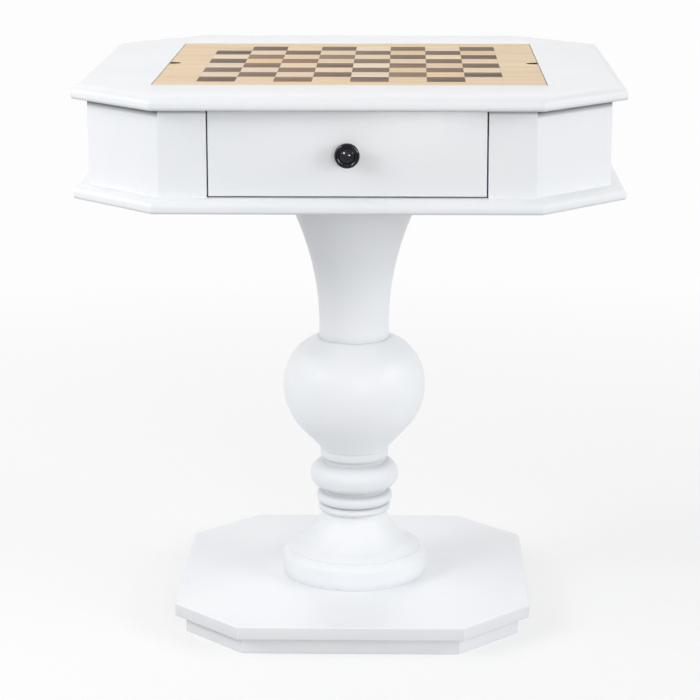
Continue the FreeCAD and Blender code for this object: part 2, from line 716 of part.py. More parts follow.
def knob_pieces():
    """Round knob on a stem, and the machine screw that holds it from inside."""
    rim_back = KNOB_STEM + KNOB_HEAD_BACK
    face = rim_back + KNOB_RIM
    waist = KNOB_STEM / 2.0
    outline = Outline(0, 0)
    outline.line(KNOB_STEM_RADIUS + KNOB_STEM_FLARE, 0)
    outline.arc((KNOB_STEM_RADIUS + waist, waist), waist, waist, 180 + KNOB_STEM_TURN, 180 - KNOB_STEM_TURN)
    outline.line(KNOB_STEM_RADIUS + KNOB_STEM_FLARE, KNOB_STEM)
    outline.arc((KNOB_RADIUS - KNOB_HEAD_BACK, rim_back), KNOB_HEAD_BACK, KNOB_HEAD_BACK,
                -KNOB_BACK_TURN, 0)
    outline.arc((KNOB_RADIUS - KNOB_RIM, rim_back), KNOB_RIM, KNOB_RIM, 0, 90)
    groove_floor = face - KNOB_GROOVE_DEPTH
    outline.line(KNOB_DOME_RADIUS + KNOB_GROOVE_WIDE, groove_floor)
    ball = (KNOB_DOME_RADIUS ** 2 + KNOB_DOME_RISE ** 2) / (2.0 * KNOB_DOME_RISE)
    sunk = ball - KNOB_DOME_RISE
    outline.arc((0, groove_floor - sunk), ball, ball, math.degrees(math.asin(sunk / ball)), 90)
    knob = outline.turned()
    knob.rotate(ORIGIN, FreeCAD.Vector(1, 0, 0), 90)
    knob.translate(FreeCAD.Vector(0, front_face(), KNOB_Z))
    inside = front_face() + FRONT_THICK
    backwards = FreeCAD.Vector(0, -1, 0)
    start = FreeCAD.Vector(0, inside, KNOB_Z)
    shank = Part.makeCylinder(KNOB_SCREW_RADIUS, KNOB_SCREW_LENGTH, start, backwards)
    head = Part.makeCylinder(KNOB_SCREW_HEAD, KNOB_SCREW_HEAD_HIGH, start, Y_AXIS)
    screw = shank.fuse(head).removeSplitter()
    return {"drawer_knob": knob.cut(screw), "knob_screw": screw}


def drawer():
    """Drawer box with its flush front, knob and stop button."""
    face = front_face()
    inside = face + FRONT_THICK
    back = inside + DRAWER_LENGTH
    front_half = FRONT_OPENING_HALF - DRAWER_GAP
    low = RUNNER_TOP + RUN_GAP
    floor_top = DRAWER_BOTTOM + DRAWER_BOTTOM_THICK
    front = box(-front_half, front_half, face, inside,
                CASE_FLOOR_TOP + DRAWER_GAP, SLAB_BOTTOM - DRAWER_GAP)
    side = box(DRAWER_HALF - DRAWER_SIDE, DRAWER_HALF, inside, back, low, DRAWER_TOP)
    inner = DRAWER_HALF - DRAWER_SIDE
    rear = box(-inner, inner, back - DRAWER_SIDE, back, floor_top, DRAWER_TOP - BACK_LOWER)
    bottom = box(-inner - GROOVE, inner + GROOVE, inside - GROOVE, back, DRAWER_BOTTOM, floor_top)
    dowels = drawer_dowels(inside)
    knob = knob_pieces()
    button_back = back - DRAWER_SIDE
    button = box(-BUTTON_WIDE / 2.0, BUTTON_WIDE / 2.0, button_back - BUTTON_THICK, button_back,
                 BUTTON_TOP - BUTTON_HIGH, BUTTON_TOP)
    side = side.cut(bottom)
    parts = {
        "drawer_front": front.cut(bottom).cut(dowels).cut(knob["knob_screw"]),
        "drawer_side_left": mirrored(side).cut(dowels),
        "drawer_side_right": side.cut(dowels),
        "drawer_back": rear,
        "drawer_bottom": bottom,
        "drawer_dowels": dowels,
        "stop_button": button,
    }
    parts.update(knob)
    return parts


def finger_notches(z0, z1):
    """Square notches in the middle of the board's left and right edges."""
    half = NOTCH_WIDE / 2.0
    slot = box(BOARD_HALF_X - NOTCH_DEPTH, BOARD_HALF_X + NOTCH_DEPTH, -half, half, z0, z1)
    return Part.makeCompound([mirrored(slot), slot])


def edge_strips(z0, z1):
    """Strips glued along the core's left and right ends; each notch is the gap between two."""
    inner = BOARD_HALF_X - NOTCH_DEPTH
    half = NOTCH_WIDE / 2.0
    back = box(inner, BOARD_HALF_X, half, BOARD_HALF_Y, z0, z1)
    front = box(inner, BOARD_HALF_X, -BOARD_HALF_Y, -half, z0, z1)
    return Part.makeCompound([mirrored(front), mirrored(back), front, back])


def board_square(column, row, z0, z1):
    """One square of the field, counted from the front left."""
    x = (column - SQUARES_A_SIDE / 2.0) * SQUARE
    y = (row - SQUARES_A_SIDE / 2.0) * SQUARE
    return box(x, x + SQUARE, y, y + SQUARE, z0, z1)


def game_board():
    """Lift-out board: core with end strips, squares and mitred border on top, veneer underneath."""
    bottom = SLAB_BOTTOM + BOARD_REST_GAP
    core_low, core_high = bottom + BACK_VENEER, BOARD_TOP - FACE_VENEER
    notches = finger_notches(bottom, BOARD_TOP)
    panel = BOARD_HALF_X - NOTCH_DEPTH
    core = box(-panel, panel, -BOARD_HALF_Y, BOARD_HALF_Y, core_low, core_high)
    backing = box(-BOARD_HALF_X, BOARD_HALF_X, -BOARD_HALF_Y, BOARD_HALF_Y, bottom, core_low)
    cells = [(column, row) for row in range(SQUARES_A_SIDE) for column in range(SQUARES_A_SIDE)]
    dark = [board_square(c, r, core_high, BOARD_TOP) for c, r in cells if (c + r) % 2 == 0]
    light = [board_square(c, r, core_high, BOARD_TOP) for c, r in cells if (c + r) % 2 == 1]
    field = SQUARES_A_SIDE / 2.0 * SQUARE
    x, y = BOARD_HALF_X, BOARD_HALF_Y
    right = prism([(x, -y), (x, y), (field, field), (field, -field)], core_high, BOARD_TOP)
    front = prism([(-x, -y), (x, -y), (field, -field), (-field, -field)], core_high, BOARD_TOP)
    back = prism([(x, y), (-x, y), (-field, field), (field, field)], core_high, BOARD_TOP)
    right = right.cut(notches)
    return {
        "board_core": core,
        "board_edge_strips": edge_strips(core_low, core_high),
        "board_backing": backing.cut(notches),
        "board_border_left": mirrored(right),
        "board_border_right": right,
        "board_border_front": front,
        "board_border_back": back,
        "board_squares_dark": Part.makeCompound(dark),
        "board_squares_light": Part.makeCompound(light),
    }


def build():
    """All the pieces by name."""
    parts = {}
    for group in (base(), column(), tie_rod(), case(), {"top_slab": top_slab()}, well(),
                  drawer_guides(), drawer(), game_board()):
        parts.update(group)
    return parts


def main():
    os.makedirs("parts", exist_ok=True)
    for name, shape in sorted(build().items()):
        if not shape.isValid():
            raise ValueError(name + " is not a valid shape")
        shape.exportStep("parts/" + name + ".step")
        size = shape.optimalBoundingBox(False)
        print("%-26s solids %2d  volume %10.0f  z %7.1f to %7.1f"
              % (name, len(shape.Solids), shape.Volume, size.ZMin, size.ZMax))


main()
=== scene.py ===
"""Looks of an eight-sided pedestal games table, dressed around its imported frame.

Shapes are drawn in millimetres on the frame's own axes: X to the right, Y to the back,
Z up, with the origin on the floor under the middle of the top. They are written to
Blender in metres. Sizes that the frame knows are read from its boxes.
"""
from __future__ import annotations

import json
import logging
import math
from collections.abc import Callable, Sequence
from dataclasses import dataclass, replace
from enum import Enum

import bmesh
import bpy
import numpy as np
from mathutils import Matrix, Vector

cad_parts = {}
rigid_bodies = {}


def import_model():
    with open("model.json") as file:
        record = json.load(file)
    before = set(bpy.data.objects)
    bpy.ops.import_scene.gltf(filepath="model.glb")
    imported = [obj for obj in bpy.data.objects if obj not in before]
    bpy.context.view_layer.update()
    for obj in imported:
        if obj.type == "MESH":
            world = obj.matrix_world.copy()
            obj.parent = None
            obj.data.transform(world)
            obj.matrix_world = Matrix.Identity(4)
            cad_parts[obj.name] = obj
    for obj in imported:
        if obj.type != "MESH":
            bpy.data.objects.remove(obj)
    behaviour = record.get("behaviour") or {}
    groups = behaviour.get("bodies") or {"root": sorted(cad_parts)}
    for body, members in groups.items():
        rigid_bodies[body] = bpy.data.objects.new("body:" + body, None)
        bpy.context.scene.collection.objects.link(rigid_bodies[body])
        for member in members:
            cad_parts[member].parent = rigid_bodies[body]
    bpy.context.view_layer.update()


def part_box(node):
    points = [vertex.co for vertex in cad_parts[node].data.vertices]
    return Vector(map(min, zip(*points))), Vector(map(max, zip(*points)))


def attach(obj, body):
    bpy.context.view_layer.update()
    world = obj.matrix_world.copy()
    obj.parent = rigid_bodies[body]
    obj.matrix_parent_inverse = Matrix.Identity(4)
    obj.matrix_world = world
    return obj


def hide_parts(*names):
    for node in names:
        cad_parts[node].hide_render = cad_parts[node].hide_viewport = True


LOG = logging.getLogger("games_table")
MILLIMETRE = 0.001
PHOTO_PIXELS = 700
SENSOR_WIDTH = 36.0
# How much shorter a corner cut gets for each millimetre that its outline shrinks.
CORNER_SHRINK = 2.0 - math.sqrt(2.0)
# Turn between two runs of a section, in degrees, above which the corner is eased.
SHARP_TURN = 12.0
# Largest share of a run that an easing takes, and its steps.
EASE_SHARE, EASE_STEPS = 0.45, 3
# Distance under which two points are one.
SAME_POINT = 1e-6
# Angles between faces: an edge under the first is dissolved, one over the second is sharp.
FLAT_ANGLE, CREASE_ANGLE = math.radians(1.0), math.radians(32.0)
# Levels between which most of a soft noise lies.
SOFT_BAND = (0.3, 0.7)
BLACK = (0.0, 0.0, 0.0)
# A block's upright edges: their radius against that of the other edges, and the steps of both.
UPRIGHT_EDGE, UPRIGHT_STEPS, EDGE_STEPS = 1.5, 1, 3
# Steps of a rounding that has no number of its own, and the least that an arc takes.
ROUND_STEPS = 4
# Sides of the table's plan.
SIDES = 8

# Linear levels of a colour, or one number for each axis.
Triple = tuple[float, float, float]
Pair = tuple[float, float]
Numbers = Sequence[float]
Points = np.ndarray
Mesh = bpy.types.Mesh
Node = bpy.types.Node
Socket = bpy.types.NodeSocket


class Slot(Enum):
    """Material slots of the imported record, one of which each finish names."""

    WHITE_PAINT = "white_paint"
    BARE_PINE = "bare_pine"
    MAPLE = "maple"
    PALE_SQUARE = "pale_square"
    WALNUT = "walnut"
    PALE_POINT = "pale_point"
    STEEL = "steel"
    BLACK_GLOSS = "black_gloss"


class Body(Enum):
    """Bodies of the frame that the pieces ride on."""

    TABLE = "table"
    DRAWER = "drawer"
    BOARD = "game_board"


class Grain(Enum):
    """Axis that a board's fibres run along, as the turn that brings it onto X."""

    ALONG_X = (0.0, 0.0, 0.0)
    ALONG_Y = (0.0, 0.0, math.pi / 2.0)
    ALONG_Z = (0.0, math.pi / 2.0, 0.0)


def linear(*levels: float) -> Triple:
    """Linear levels for a shader, from screen levels of 0 to 255."""
    level = np.array(levels) / 255.0
    return tuple(np.where(level <= 0.04045, level / 12.92, ((level + 0.055) / 1.055) ** 2.4).tolist())


def node_box(node: str) -> tuple[Points, Points]:
    """Lowest and highest corner of a frame node, in millimetres."""
    low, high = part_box(node)
    return np.array(low) / MILLIMETRE, np.array(high) / MILLIMETRE


def around(turn: Points) -> Points:
    """Points (cos t, sin t) of the unit circle."""
    return np.stack([np.cos(turn), np.sin(turn)], axis=-1)


def quarter(steps: int = ROUND_STEPS) -> Points:
    """Angles of a quarter turn, in radians."""
    return np.linspace(0.0, math.pi / 2.0, steps + 1)


@dataclass
class Shell:
    """A surface as points and faces, the faces anticlockwise when seen from outside."""

    points: Points
    faces: list[list[int]]

    def mirrored(self) -> Shell:
        """Shell on the other side of the middle, left for right, still facing outwards."""
        return Shell(self.points * (-1.0, 1.0, 1.0), [face[::-1] for face in self.faces])

    def facing_front(self, front: float, height: float) -> Shell:
        """Shell with its upright axis turned to the front, from that plane and at that height."""
        x, y, z = self.points.T
        return Shell(np.stack([x, front - z, height + y], axis=1), self.faces)

    def repeated(self, offsets: Points) -> Shell:
        """Copies of the shell at places given as an array (copies, 3), one after the other."""
        points = (offsets[:, None, :] + self.points).reshape(-1, 3)
        starts = range(0, len(points), len(self.points))
        return Shell(points, [[start + point for point in face] for start in starts for face in self.faces])

    def mesh(self, name: str) -> Mesh:
        """Write the shell to Blender, in metres.

        Args:
            name: Name of the mesh.

        Returns:
            The new mesh.
        """
        mesh = bpy.data.meshes.new(name)
        mesh.from_pydata((self.points * MILLIMETRE).tolist(), [], self.faces)
        mesh.validate()
        return mesh


def stacked(outlines: Points, heights: Points, closed: bool = False) -> Shell:
    """Skin over a stack of plan outlines: point (k, i) is outline k's point i at height k.

    Each quad joins points i and i + 1 of a row to the same two of the next row.

    Args:
        outlines: Array (rows, points, 2), anticlockwise.
        heights: Height of each row.
        closed: Whether the last row joins the first. Otherwise both ends are capped.

    Returns:
        The closed shell.
    """
    rows, count = outlines.shape[:2]
    lifted = np.broadcast_to(heights[:, None, None], (rows, count, 1))
    points = np.concatenate([outlines, lifted], axis=2).reshape(-1, 3)
    here = np.arange(rows * count).reshape(rows, count)
    above = np.roll(here, -1, axis=0)
    quads = np.stack([here, np.roll(here, -1, axis=1), np.roll(above, -1, axis=1), above], axis=-1)
    faces = quads[:rows if closed else rows - 1].reshape(-1, 4).tolist()
    if not closed:
        faces += [here[0, ::-1].tolist(), here[-1].tolist()]
    return Shell(points, faces)


def turned(section: Points, segments: int) -> Shell:
    """Surface of revolution: (radius cos t, radius sin t, height) over a half section.

    Args:
        section: Array (points, 2) of radius and height, from the axis to the axis.
        segments: Steps round the axis.

    Returns:
        The closed shell, its caps fans of triangles round a pole.
    """
    rings = section[1:-1]
    turn = np.linspace(0.0, 2.0 * math.pi, segments, endpoint=False)
    shell = stacked(rings[:, None, :1] * around(turn), rings[:, 1])
    poles = np.array([(0.0, 0.0, height) for height in section[[0, -1], 1]])
    caps = np.array(shell.faces[-2:])
    middles = caps - caps + [[len(shell.points)], [len(shell.points) + 1]]
    fans = np.stack([middles, caps, np.roll(caps, -1, axis=1)], axis=-1).reshape(-1, 3)
    return Shell(np.concatenate([shell.points, poles]), shell.faces[:-2] + fans.tolist())


class Section:
    """Half section of a turned piece, drawn point to point as radius and height."""

    def __init__(self, height: float, pitch: float) -> None:
        """Start on the axis at a height, with the longest step that arcs take."""
        self.pitch = pitch
        self.runs = [np.array([[0.0, height]])]

    @property
    def here(self) -> Points:
        """Last point drawn."""
        return self.runs[-1][-1]

    def line(self, *points: Numbers) -> None:
        """Draw straight runs from point to point."""
        for point in points:
            if math.dist(point, self.here) > SAME_POINT:
                self.runs.append(np.array([point]))

    def arc(self, centre: Numbers, axes: float | Numbers, begin: float, end: float) -> None:
        """Draw an arc of a circle or an upright ellipse: centre + (wide cos t, high sin t).

        Args:
            centre: Radius and height of its middle.
            axes: Radius of the circle, or half axes across and up.
            begin: First angle in degrees, from the side away from the axis.
            end: Last angle.
        """
        length = math.radians(abs(end - begin)) * np.max(axes)
        turn = np.radians(np.linspace(begin, end, max(ROUND_STEPS, math.ceil(length / self.pitch)) + 1))
        points = np.array(centre) + around(turn) * axes
        self.line(points[0])
        self.runs.append(points[1:])

    def bow(self, target: Numbers, bend: float) -> None:
        """Draw an arc of a circle, whose middle lies beside the chord's at the right distance.

        Args:
            target: Radius and height of the last point.
            bend: Radius of the arc, below zero where it swells away from the axis.
        """
        start, target = self.here, np.array(target)
        chord = target - start
        length = math.hypot(*chord)
        beside = math.copysign(math.sqrt(bend ** 2 - length ** 2 / 4.0), bend)
        middle = (start + target) / 2.0 + np.array([chord[1], -chord[0]]) / length * beside
        first, last = (math.degrees(math.atan2(*(point - middle)[::-1])) for point in (start, target))
        last = first + (last - first + 180.0) % 360.0 - 180.0
        self.arc(middle, abs(bend), first, last)

    def points(self, ease: float) -> Points:
        """Whole section, closed to the axis, with a quadratic curve at each sharp corner.

        Args:
            ease: Distance from the corner at which its curve begins and ends, as far as
                its two runs have room.

        Returns:
            Array (points, 2) of radius and height.
        """
        self.line((0.0, self.here[1]))
        section = np.concatenate(self.runs)
        corner = section[1:-1]
        runs = np.diff(section, axis=0)
        lengths = np.linalg.norm(runs, axis=1, keepdims=True)
        before, after = (runs / lengths)[:-1], (runs / lengths)[1:]
        turn = np.degrees(np.arccos(np.clip((before * after).sum(axis=1, keepdims=True), -1.0, 1.0)))
        reach = np.minimum(ease, EASE_SHARE * np.minimum(lengths[:-1], lengths[1:]))
        reach = np.where(turn > SHARP_TURN, reach, 0.0)
        start = (corner - before * reach)[:, None, :]
        end = (corner + after * reach)[:, None, :]
        t = np.linspace(0.0, 1.0, EASE_STEPS + 1)[:, None]
        curve = (1.0 - t) ** 2 * start + 2.0 * t * (1.0 - t) * corner[:, None, :] + t ** 2 * end
        points = np.concatenate([section[:1], curve.reshape(-1, 2), section[-1:]])
        apart = np.linalg.norm(np.diff(points, axis=0), axis=1) > SAME_POINT
        return points[np.concatenate([[True], apart])]


def corner_arcs(centres: Points, radius: float, steps: int) -> Points:
    """Eight arcs in a row, each an eighth turn of radius (cos t, sin t) about its own centre."""
    turn = np.radians(45.0 * (np.arange(SIDES)[:, None] + np.linspace(0.0, 1.0, steps + 1)) - 90.0)
    return (centres[:, None, :] + radius * around(turn)).reshape(-1, 2)


@dataclass(frozen=True)
class Octagon:
    """Square with cut corners, seen in plan."""

    half: float
    corner: float

    def inset(self, distance: float) -> Octagon:
        """Octagon whose sides all lie that much further in."""
        return Octagon(self.half - distance, self.corner - CORNER_SHRINK * distance)

    def corners(self) -> Points:
        """Eight plan corners, anticlockwise from the front right."""
        near, far = self.half - self.corner, self.half
        return np.array([(near, -far), (far, -near), (far, near), (near, far),
                         (-near, far), (-far, near), (-far, -near), (-near, -far)])

    def outline(self, ease: float, steps: int = ROUND_STEPS) -> Points:
        """Outline with rounded corners, of a radius and with so many steps each."""
        return corner_arcs(self.inset(ease).corners(), ease, steps)


def rectangle(low: Numbers, high: Numbers, radius: float, steps: int = ROUND_STEPS) -> Points:
    """Plan rectangle with rounded corners, in as many points as an octagon's outline.

    Args:
        low: Lowest corner.
        high: Highest corner.
        radius: Radius of its corners.
        steps: Steps in each half of a corner.

    Returns:
        Array (8 * (steps + 1), 2).
    """
    x0, y0, x1, y1 = low[0] + radius, low[1] + radius, high[0] - radius, high[1] - radius
    return corner_arcs(np.array([(x1, y0), (x1, y1), (x0, y1), (x0, y0)]).repeat(2, axis=0), radius, steps)


def rounded(outline: Callable[[float], Points], low: float, high: float, ease: float,
            steps: int = ROUND_STEPS) -> Shell:
    """Block with quarter rounds as edges.

    The row at angle t of an edge lies ease (1 - cos t) inside the outline and
    ease (1 - sin t) inside the block's height.

    Args:
        outline: Plan outline that lies a distance further in.
        low: Height of the underside.
        high: Height of the upper face.
        ease: Radius of the edges.
        steps: Steps round each edge.

    Returns:
        The closed shell.
    """
    draw_in = ease * (1.0 - np.cos(quarter(steps)))
    rise = ease * (1.0 - np.sin(quarter(steps)))
    outlines = np.stack([outline(inset) for inset in np.concatenate([draw_in[::-1], draw_in])])
    return stacked(outlines, np.concatenate([low + rise[::-1], high - rise]))


def eased_block(low: Numbers, high: Numbers, ease: float) -> Shell:
    """Block between two corners, with rounded edges of a radius."""
    upright = UPRIGHT_EDGE * ease
    return rounded(lambda inset: rectangle(np.add(low, inset), np.subtract(high, inset), upright - inset,
                                           UPRIGHT_STEPS), low[2], high[2], ease, EDGE_STEPS)


def prism(outline: Points, low: float, high: float) -> Shell:
    """Straight block over an anticlockwise plan outline, between two heights."""
    return stacked(np.stack([outline, outline]), np.array([low, high]))


def added(name: str, data: bpy.types.ID) -> bpy.types.Object:
    """New object of the scene, with its mesh, light or camera."""
    thing = bpy.data.objects.new(name, data)
    bpy.context.scene.collection.objects.link(thing)
    return thing


def place(mesh: Mesh, body: Body, finish: Finish, *nodes: str, ease: float = 0.0) -> None:
    """Put a mesh into the scene as a dressed piece, shaded smooth but for its sharp edges.

    Args:
        mesh: Its mesh, which holds its name and place too.
        body: The body that it rides on.
        finish: Its finish.
        *nodes: Frame nodes that it stands for.
        ease: Width that a live modifier rounds its sharp edges by, in millimetres.
    """
    piece = added(mesh.name, mesh)
    mesh.polygons.foreach_set("use_smooth", np.ones(len(mesh.polygons), bool))
    mesh.set_sharp_from_angle(angle=CREASE_ANGLE)
    if ease:
        modifier = piece.modifiers.new("eased_edges", "BEVEL")
        modifier.width = ease * MILLIMETRE
        modifier.segments = 2
        modifier.limit_method = "ANGLE"
        modifier.angle_limit = CREASE_ANGLE
        modifier.harden_normals = True
    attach(piece, body.value)
    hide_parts(*nodes)
    finish.dress(piece)
    LOG.info("%s: %d points, %d faces", piece.name, len(mesh.vertices), len(mesh.polygons))


def eased_copies(body: Body, ease: float, finish: Finish, *nodes: str) -> None:
    """Let copies with eased edges stand for frame nodes.

    A node's loose triangles are merged, and its flat sides made whole first.

    Args:
        body: The body that they ride on.
        ease: Width of the easing, in millimetres.
        finish: Their finish.
        *nodes: Names of the frame nodes.
    """
    for node in nodes:
        copy = bmesh.new()
        copy.from_mesh(bpy.data.objects[node].data)
        bmesh.ops.remove_doubles(copy, verts=copy.verts, dist=SAME_POINT)
        bmesh.ops.dissolve_limit(copy, angle_limit=FLAT_ANGLE, verts=copy.verts, edges=copy.edges)
        mesh = bpy.data.meshes.new("eased_" + node)
        copy.to_mesh(mesh)
        copy.free()
        place(mesh, body, finish, node, ease=ease)


class Graph:
    """Node tree of a material or of the world, with short calls to add and link nodes."""

    def __init__(self, owner: bpy.types.Material | bpy.types.World) -> None:
        """Open the tree of its owner."""
        owner.use_nodes = True
        self.tree = owner.node_tree
        self.shader = self.tree.nodes.get("Principled BSDF")

    def fill(self, node: Node, *numbered: object, **named: object) -> Node:
        """Set inputs of a node, each to a value or to the output socket to link.

        Args:
            node: The node.
            *numbered: Its first inputs in order, with None for one to leave.
            **named: Inputs by name, with _ for a space.

        Returns:
            The node.
        """
        for key, value in (*enumerate(numbered), *named.items()):
            socket = node.inputs[key.replace("_", " ") if isinstance(key, str) else key]
            if isinstance(value, Socket):
                self.tree.links.new(value, socket)
            elif value is not None:
                socket.default_value = value
        return node

    def add(self, kind: str, *numbered: object, settings: dict[str, str | int] | None = None,
            **named: object) -> Node:
        """Add a node.

        Args:
            kind: Blender's name of the node type, after ShaderNode.
            *numbered: Its inputs, as for fill.
            settings: Properties of the node itself.
            **named: Its inputs, as for fill.

        Returns:
            The node.
        """
        node = self.tree.nodes.new("ShaderNode" + kind)
        for key, value in (settings or {}).items():
            setattr(node, key, value)
        return self.fill(node, *numbered, **named)

    def coordinates(self) -> Socket:
        """Object coordinates, in metres."""
        return self.add("TexCoord").outputs["Object"]

    def own(self, name: str, output: str = "Fac") -> Socket:
        """Value of one of the piece's own attributes."""
        return self.add("Attribute", settings={"attribute_name": name}).outputs[output]

    def mapped(self, vector: Socket, **changes: Triple) -> Socket:
        """Coordinates with a Scale along the axes, or a Rotation about them in radians."""
        return self.add("Mapping", Vector=vector, **changes).outputs["Vector"]

    def noise(self, vector: Socket, scale: float | Triple, detail: float = 3.0, rough: float = 0.5,
              bend: float = 0.0) -> Socket:
        """Soft noise from 0 to 1, by one scale or by one for each axis."""
        if isinstance(scale, tuple):
            vector, scale = self.mapped(vector, Scale=scale), 1.0
        return self.add("TexNoise", Vector=vector, Scale=scale, Detail=detail, Roughness=rough,
                        Distortion=bend).outputs["Fac"]

    def ranged(self, value: Socket, low: float, high: float, new_low: float = 0.0,
               new_high: float = 1.0) -> Socket:
        """Carry one range of a value onto another, clamped at its ends."""
        return self.add("MapRange", Value=value, From_Min=low, From_Max=high, To_Min=new_low,
                        To_Max=new_high).outputs["Result"]

    def sums(self, operation: str, *values: Socket | float | None, kind: str = "Math",
             output: int = 0) -> Socket:
        """Join values by an operation such as ADD, or vectors where the kind is VectorMath."""
        return self.add(kind, *values, settings={"operation": operation}).outputs[output]

    def mixed(self, share: Socket, first: Socket | Triple, second: Socket | Triple) -> Socket:
        """Mix two colours, each a tuple or a socket, by the second one's share."""
        colours = ((*colour, 1.0) if isinstance(colour, tuple) else colour for colour in (first, second))
        # A mix node's inputs 6 and 7 and its output 2 are colours.
        return self.add("Mix", share, *[None] * 5, *colours, settings={"data_type": "RGBA"}).outputs[2]

    def surface(self, colour: Socket, gloss: Socket, relief: Socket, depth: float, **others: float) -> None:
        """Set the shader, its relief a height from 0 to 1 times a depth in metres."""
        bump = self.add("Bump", Height=relief, Strength=1.0, Distance=depth).outputs["Normal"]
        self.fill(self.shader, Base_Color=colour, Roughness=gloss, Normal=bump, **others)

    def seen_directly(self) -> Socket:
        """1 for what the camera sees straight, in a reflection or through glass, and 0 for light."""
        path = self.add("LightPath").outputs
        seen = self.sums("MAXIMUM", path["Is Camera Ray"], path["Is Glossy Ray"])
        return self.sums("MAXIMUM", seen, path["Is Transmission Ray"])


@dataclass(frozen=True)
class Finish:
    """A surface finish with a name and a slot of the record."""

    name: str
    slot: Slot

    def draw(self, graph: Graph) -> None:
        """Draw this finish in the node tree of its material."""
        raise NotImplementedError

    def material(self) -> bpy.types.Material:
        """Material of this finish, made once."""
        if self.name not in bpy.data.materials:
            self.draw(Graph(bpy.data.materials.new(self.name)))
        return bpy.data.materials[self.name]

    def dress(self, piece: bpy.types.Object) -> None:
        """Give a new piece this finish."""
        piece.data.materials.append(self.material())

    def dress_nodes(self, *nodes: str) -> None:
        """Give frame nodes this finish, by assigning their objects' material slots.

        Args:
            *nodes: Names of the frame nodes.
        """
        for node in nodes:
            for material_slot in bpy.data.objects[node].material_slots:
                material_slot.link = "OBJECT"
                material_slot.material = self.material()


@dataclass(frozen=True)
class SatinPaint(Finish):
    """Sprayed satin paint over smooth board or turned wood.

    The tone moves between colour and shade. Painted shade darkens crevices, and a painted
    shadow darkens a line across the piece where its height goes from the first of two
    heights to the second.
    """

    colour: Triple = linear(240, 241, 243)
    shade: Triple = linear(236, 239, 242)
    roughness: Pair = (0.28, 0.39)
    specular: float = 0.4
    cloud_scale: float = 7.0
    peel_scale: float = 420.0
    peel_depth: float = 0.000012
    wave_scale: float = 28.0
    wave_share: float = 2.5
    wave_band: Pair = (0.6, 1.4)
    # Painted shade: its colour, then its strength, reach and occlusion range in crevices, then the strength
    # and heights of the painted shadow line.
    painted_shade: Triple = (0.03, 0.03, 0.035)
    crevice: float = 0.0
    crevice_reach: float = 0.012
    crevice_range: Pair = (0.5, 0.95)
    line: float = 0.0
    line_heights: Pair = (0.744, 0.752)

    def draw(self, graph: Graph) -> None:
        """Slow change of tone, painted shade in corners and along a line, fine orange peel, and gloss that
        varies.

        Args:
            graph: Node tree of the material.
        """
        where = graph.coordinates()
        tone = graph.ranged(graph.noise(where, self.cloud_scale), *SOFT_BAND)
        paint = graph.mixed(tone, self.colour, self.shade)
        # Painted shade: darker where the occlusion node finds surfaces close by.
        if self.crevice:
            air = graph.add("AmbientOcclusion", settings={"samples": 8}, Distance=self.crevice_reach)
            crevice_shade = graph.ranged(air.outputs["AO"], *self.crevice_range, self.crevice, 0.0)
            paint = graph.mixed(crevice_shade, paint, self.painted_shade)
        # Painted shadow: darker from the first height to the second.
        if self.line:
            height = graph.add("SeparateXYZ", Vector=where).outputs["Z"]
            shadow = graph.ranged(height, *self.line_heights, 0.0, self.line)
            paint = graph.mixed(shadow, paint, self.painted_shade)
        wave = graph.noise(where, self.wave_scale, detail=2.0)
        peel = graph.noise(where, self.peel_scale, detail=2.0)
        gloss = graph.ranged(graph.sums("ADD", wave, peel), *self.wave_band, *self.roughness)
        relief = graph.sums("ADD", graph.sums("MULTIPLY", wave, self.wave_share), peel)
        graph.surface(paint, gloss, relief, self.peel_depth, Specular_IOR_Level=self.specular)


@dataclass(frozen=True)
class Wood(Finish):
    """Wood with fibres, broad figure and pores along its grain."""

    pale: Triple
    deep: Triple
    grain: Grain = Grain.ALONG_X
    figure: float = 0.6
    fibre: float = 0.5
    pore: float = 0.25
    roughness: float = 0.45
    gloss_change: Pair = (-0.06, 0.08)
    specular: float = 0.4
    relief: float = 0.00002
    band_scale: Triple = (2.4, 44.0, 44.0)
    band_bend: float = 0.8
    band_range: Pair = (0.32, 0.68)
    fibre_scale: Triple = (7.0, 420.0, 420.0)
    fibre_rough: float = 0.62
    pore_scale: Triple = (70.0, 1500.0, 1500.0)
    pore_range: Pair = (0.56, 0.68)
    pore_tone: float = 0.45
    pore_depth: float = 1.5

    def start(self, graph: Graph) -> Socket:
        """Coordinates that the grain is drawn on."""
        return graph.coordinates()

    def tinted(self, graph: Graph, run: Socket, colour: Socket) -> Socket:
        """Colour with what lies over the grain, which is nothing on plain wood."""
        return colour

    def draw(self, graph: Graph) -> None:
        """Layers of noise, each stretched along the grain, mixed from pale to deep.

        Args:
            graph: Node tree of the material.
        """
        run = graph.mapped(self.start(graph), Rotation=self.grain.value)
        bands = graph.noise(run, self.band_scale, bend=self.band_bend)
        fibres = graph.noise(run, self.fibre_scale, detail=4.0, rough=self.fibre_rough)
        pores = graph.noise(run, self.pore_scale, detail=1.0)
        figure = graph.ranged(bands, *self.band_range, 0.0, self.figure)
        depth = graph.sums("ADD", figure, graph.ranged(fibres, *SOFT_BAND, 0.0, self.fibre))
        pits = graph.ranged(pores, *self.pore_range, 0.0, self.pore)
        colour = graph.mixed(depth, self.pale, self.deep)
        colour = graph.mixed(pits, colour, tuple(self.pore_tone * level for level in self.deep))
        sheen = (self.roughness + change for change in self.gloss_change)
        gloss = graph.ranged(fibres, *SOFT_BAND, *sheen)
        height = graph.sums("SUBTRACT", fibres, graph.sums("MULTIPLY", pits, self.pore_depth))
        graph.surface(self.tinted(graph, run, colour), gloss, height, self.relief,
                      Specular_IOR_Level=self.specular)


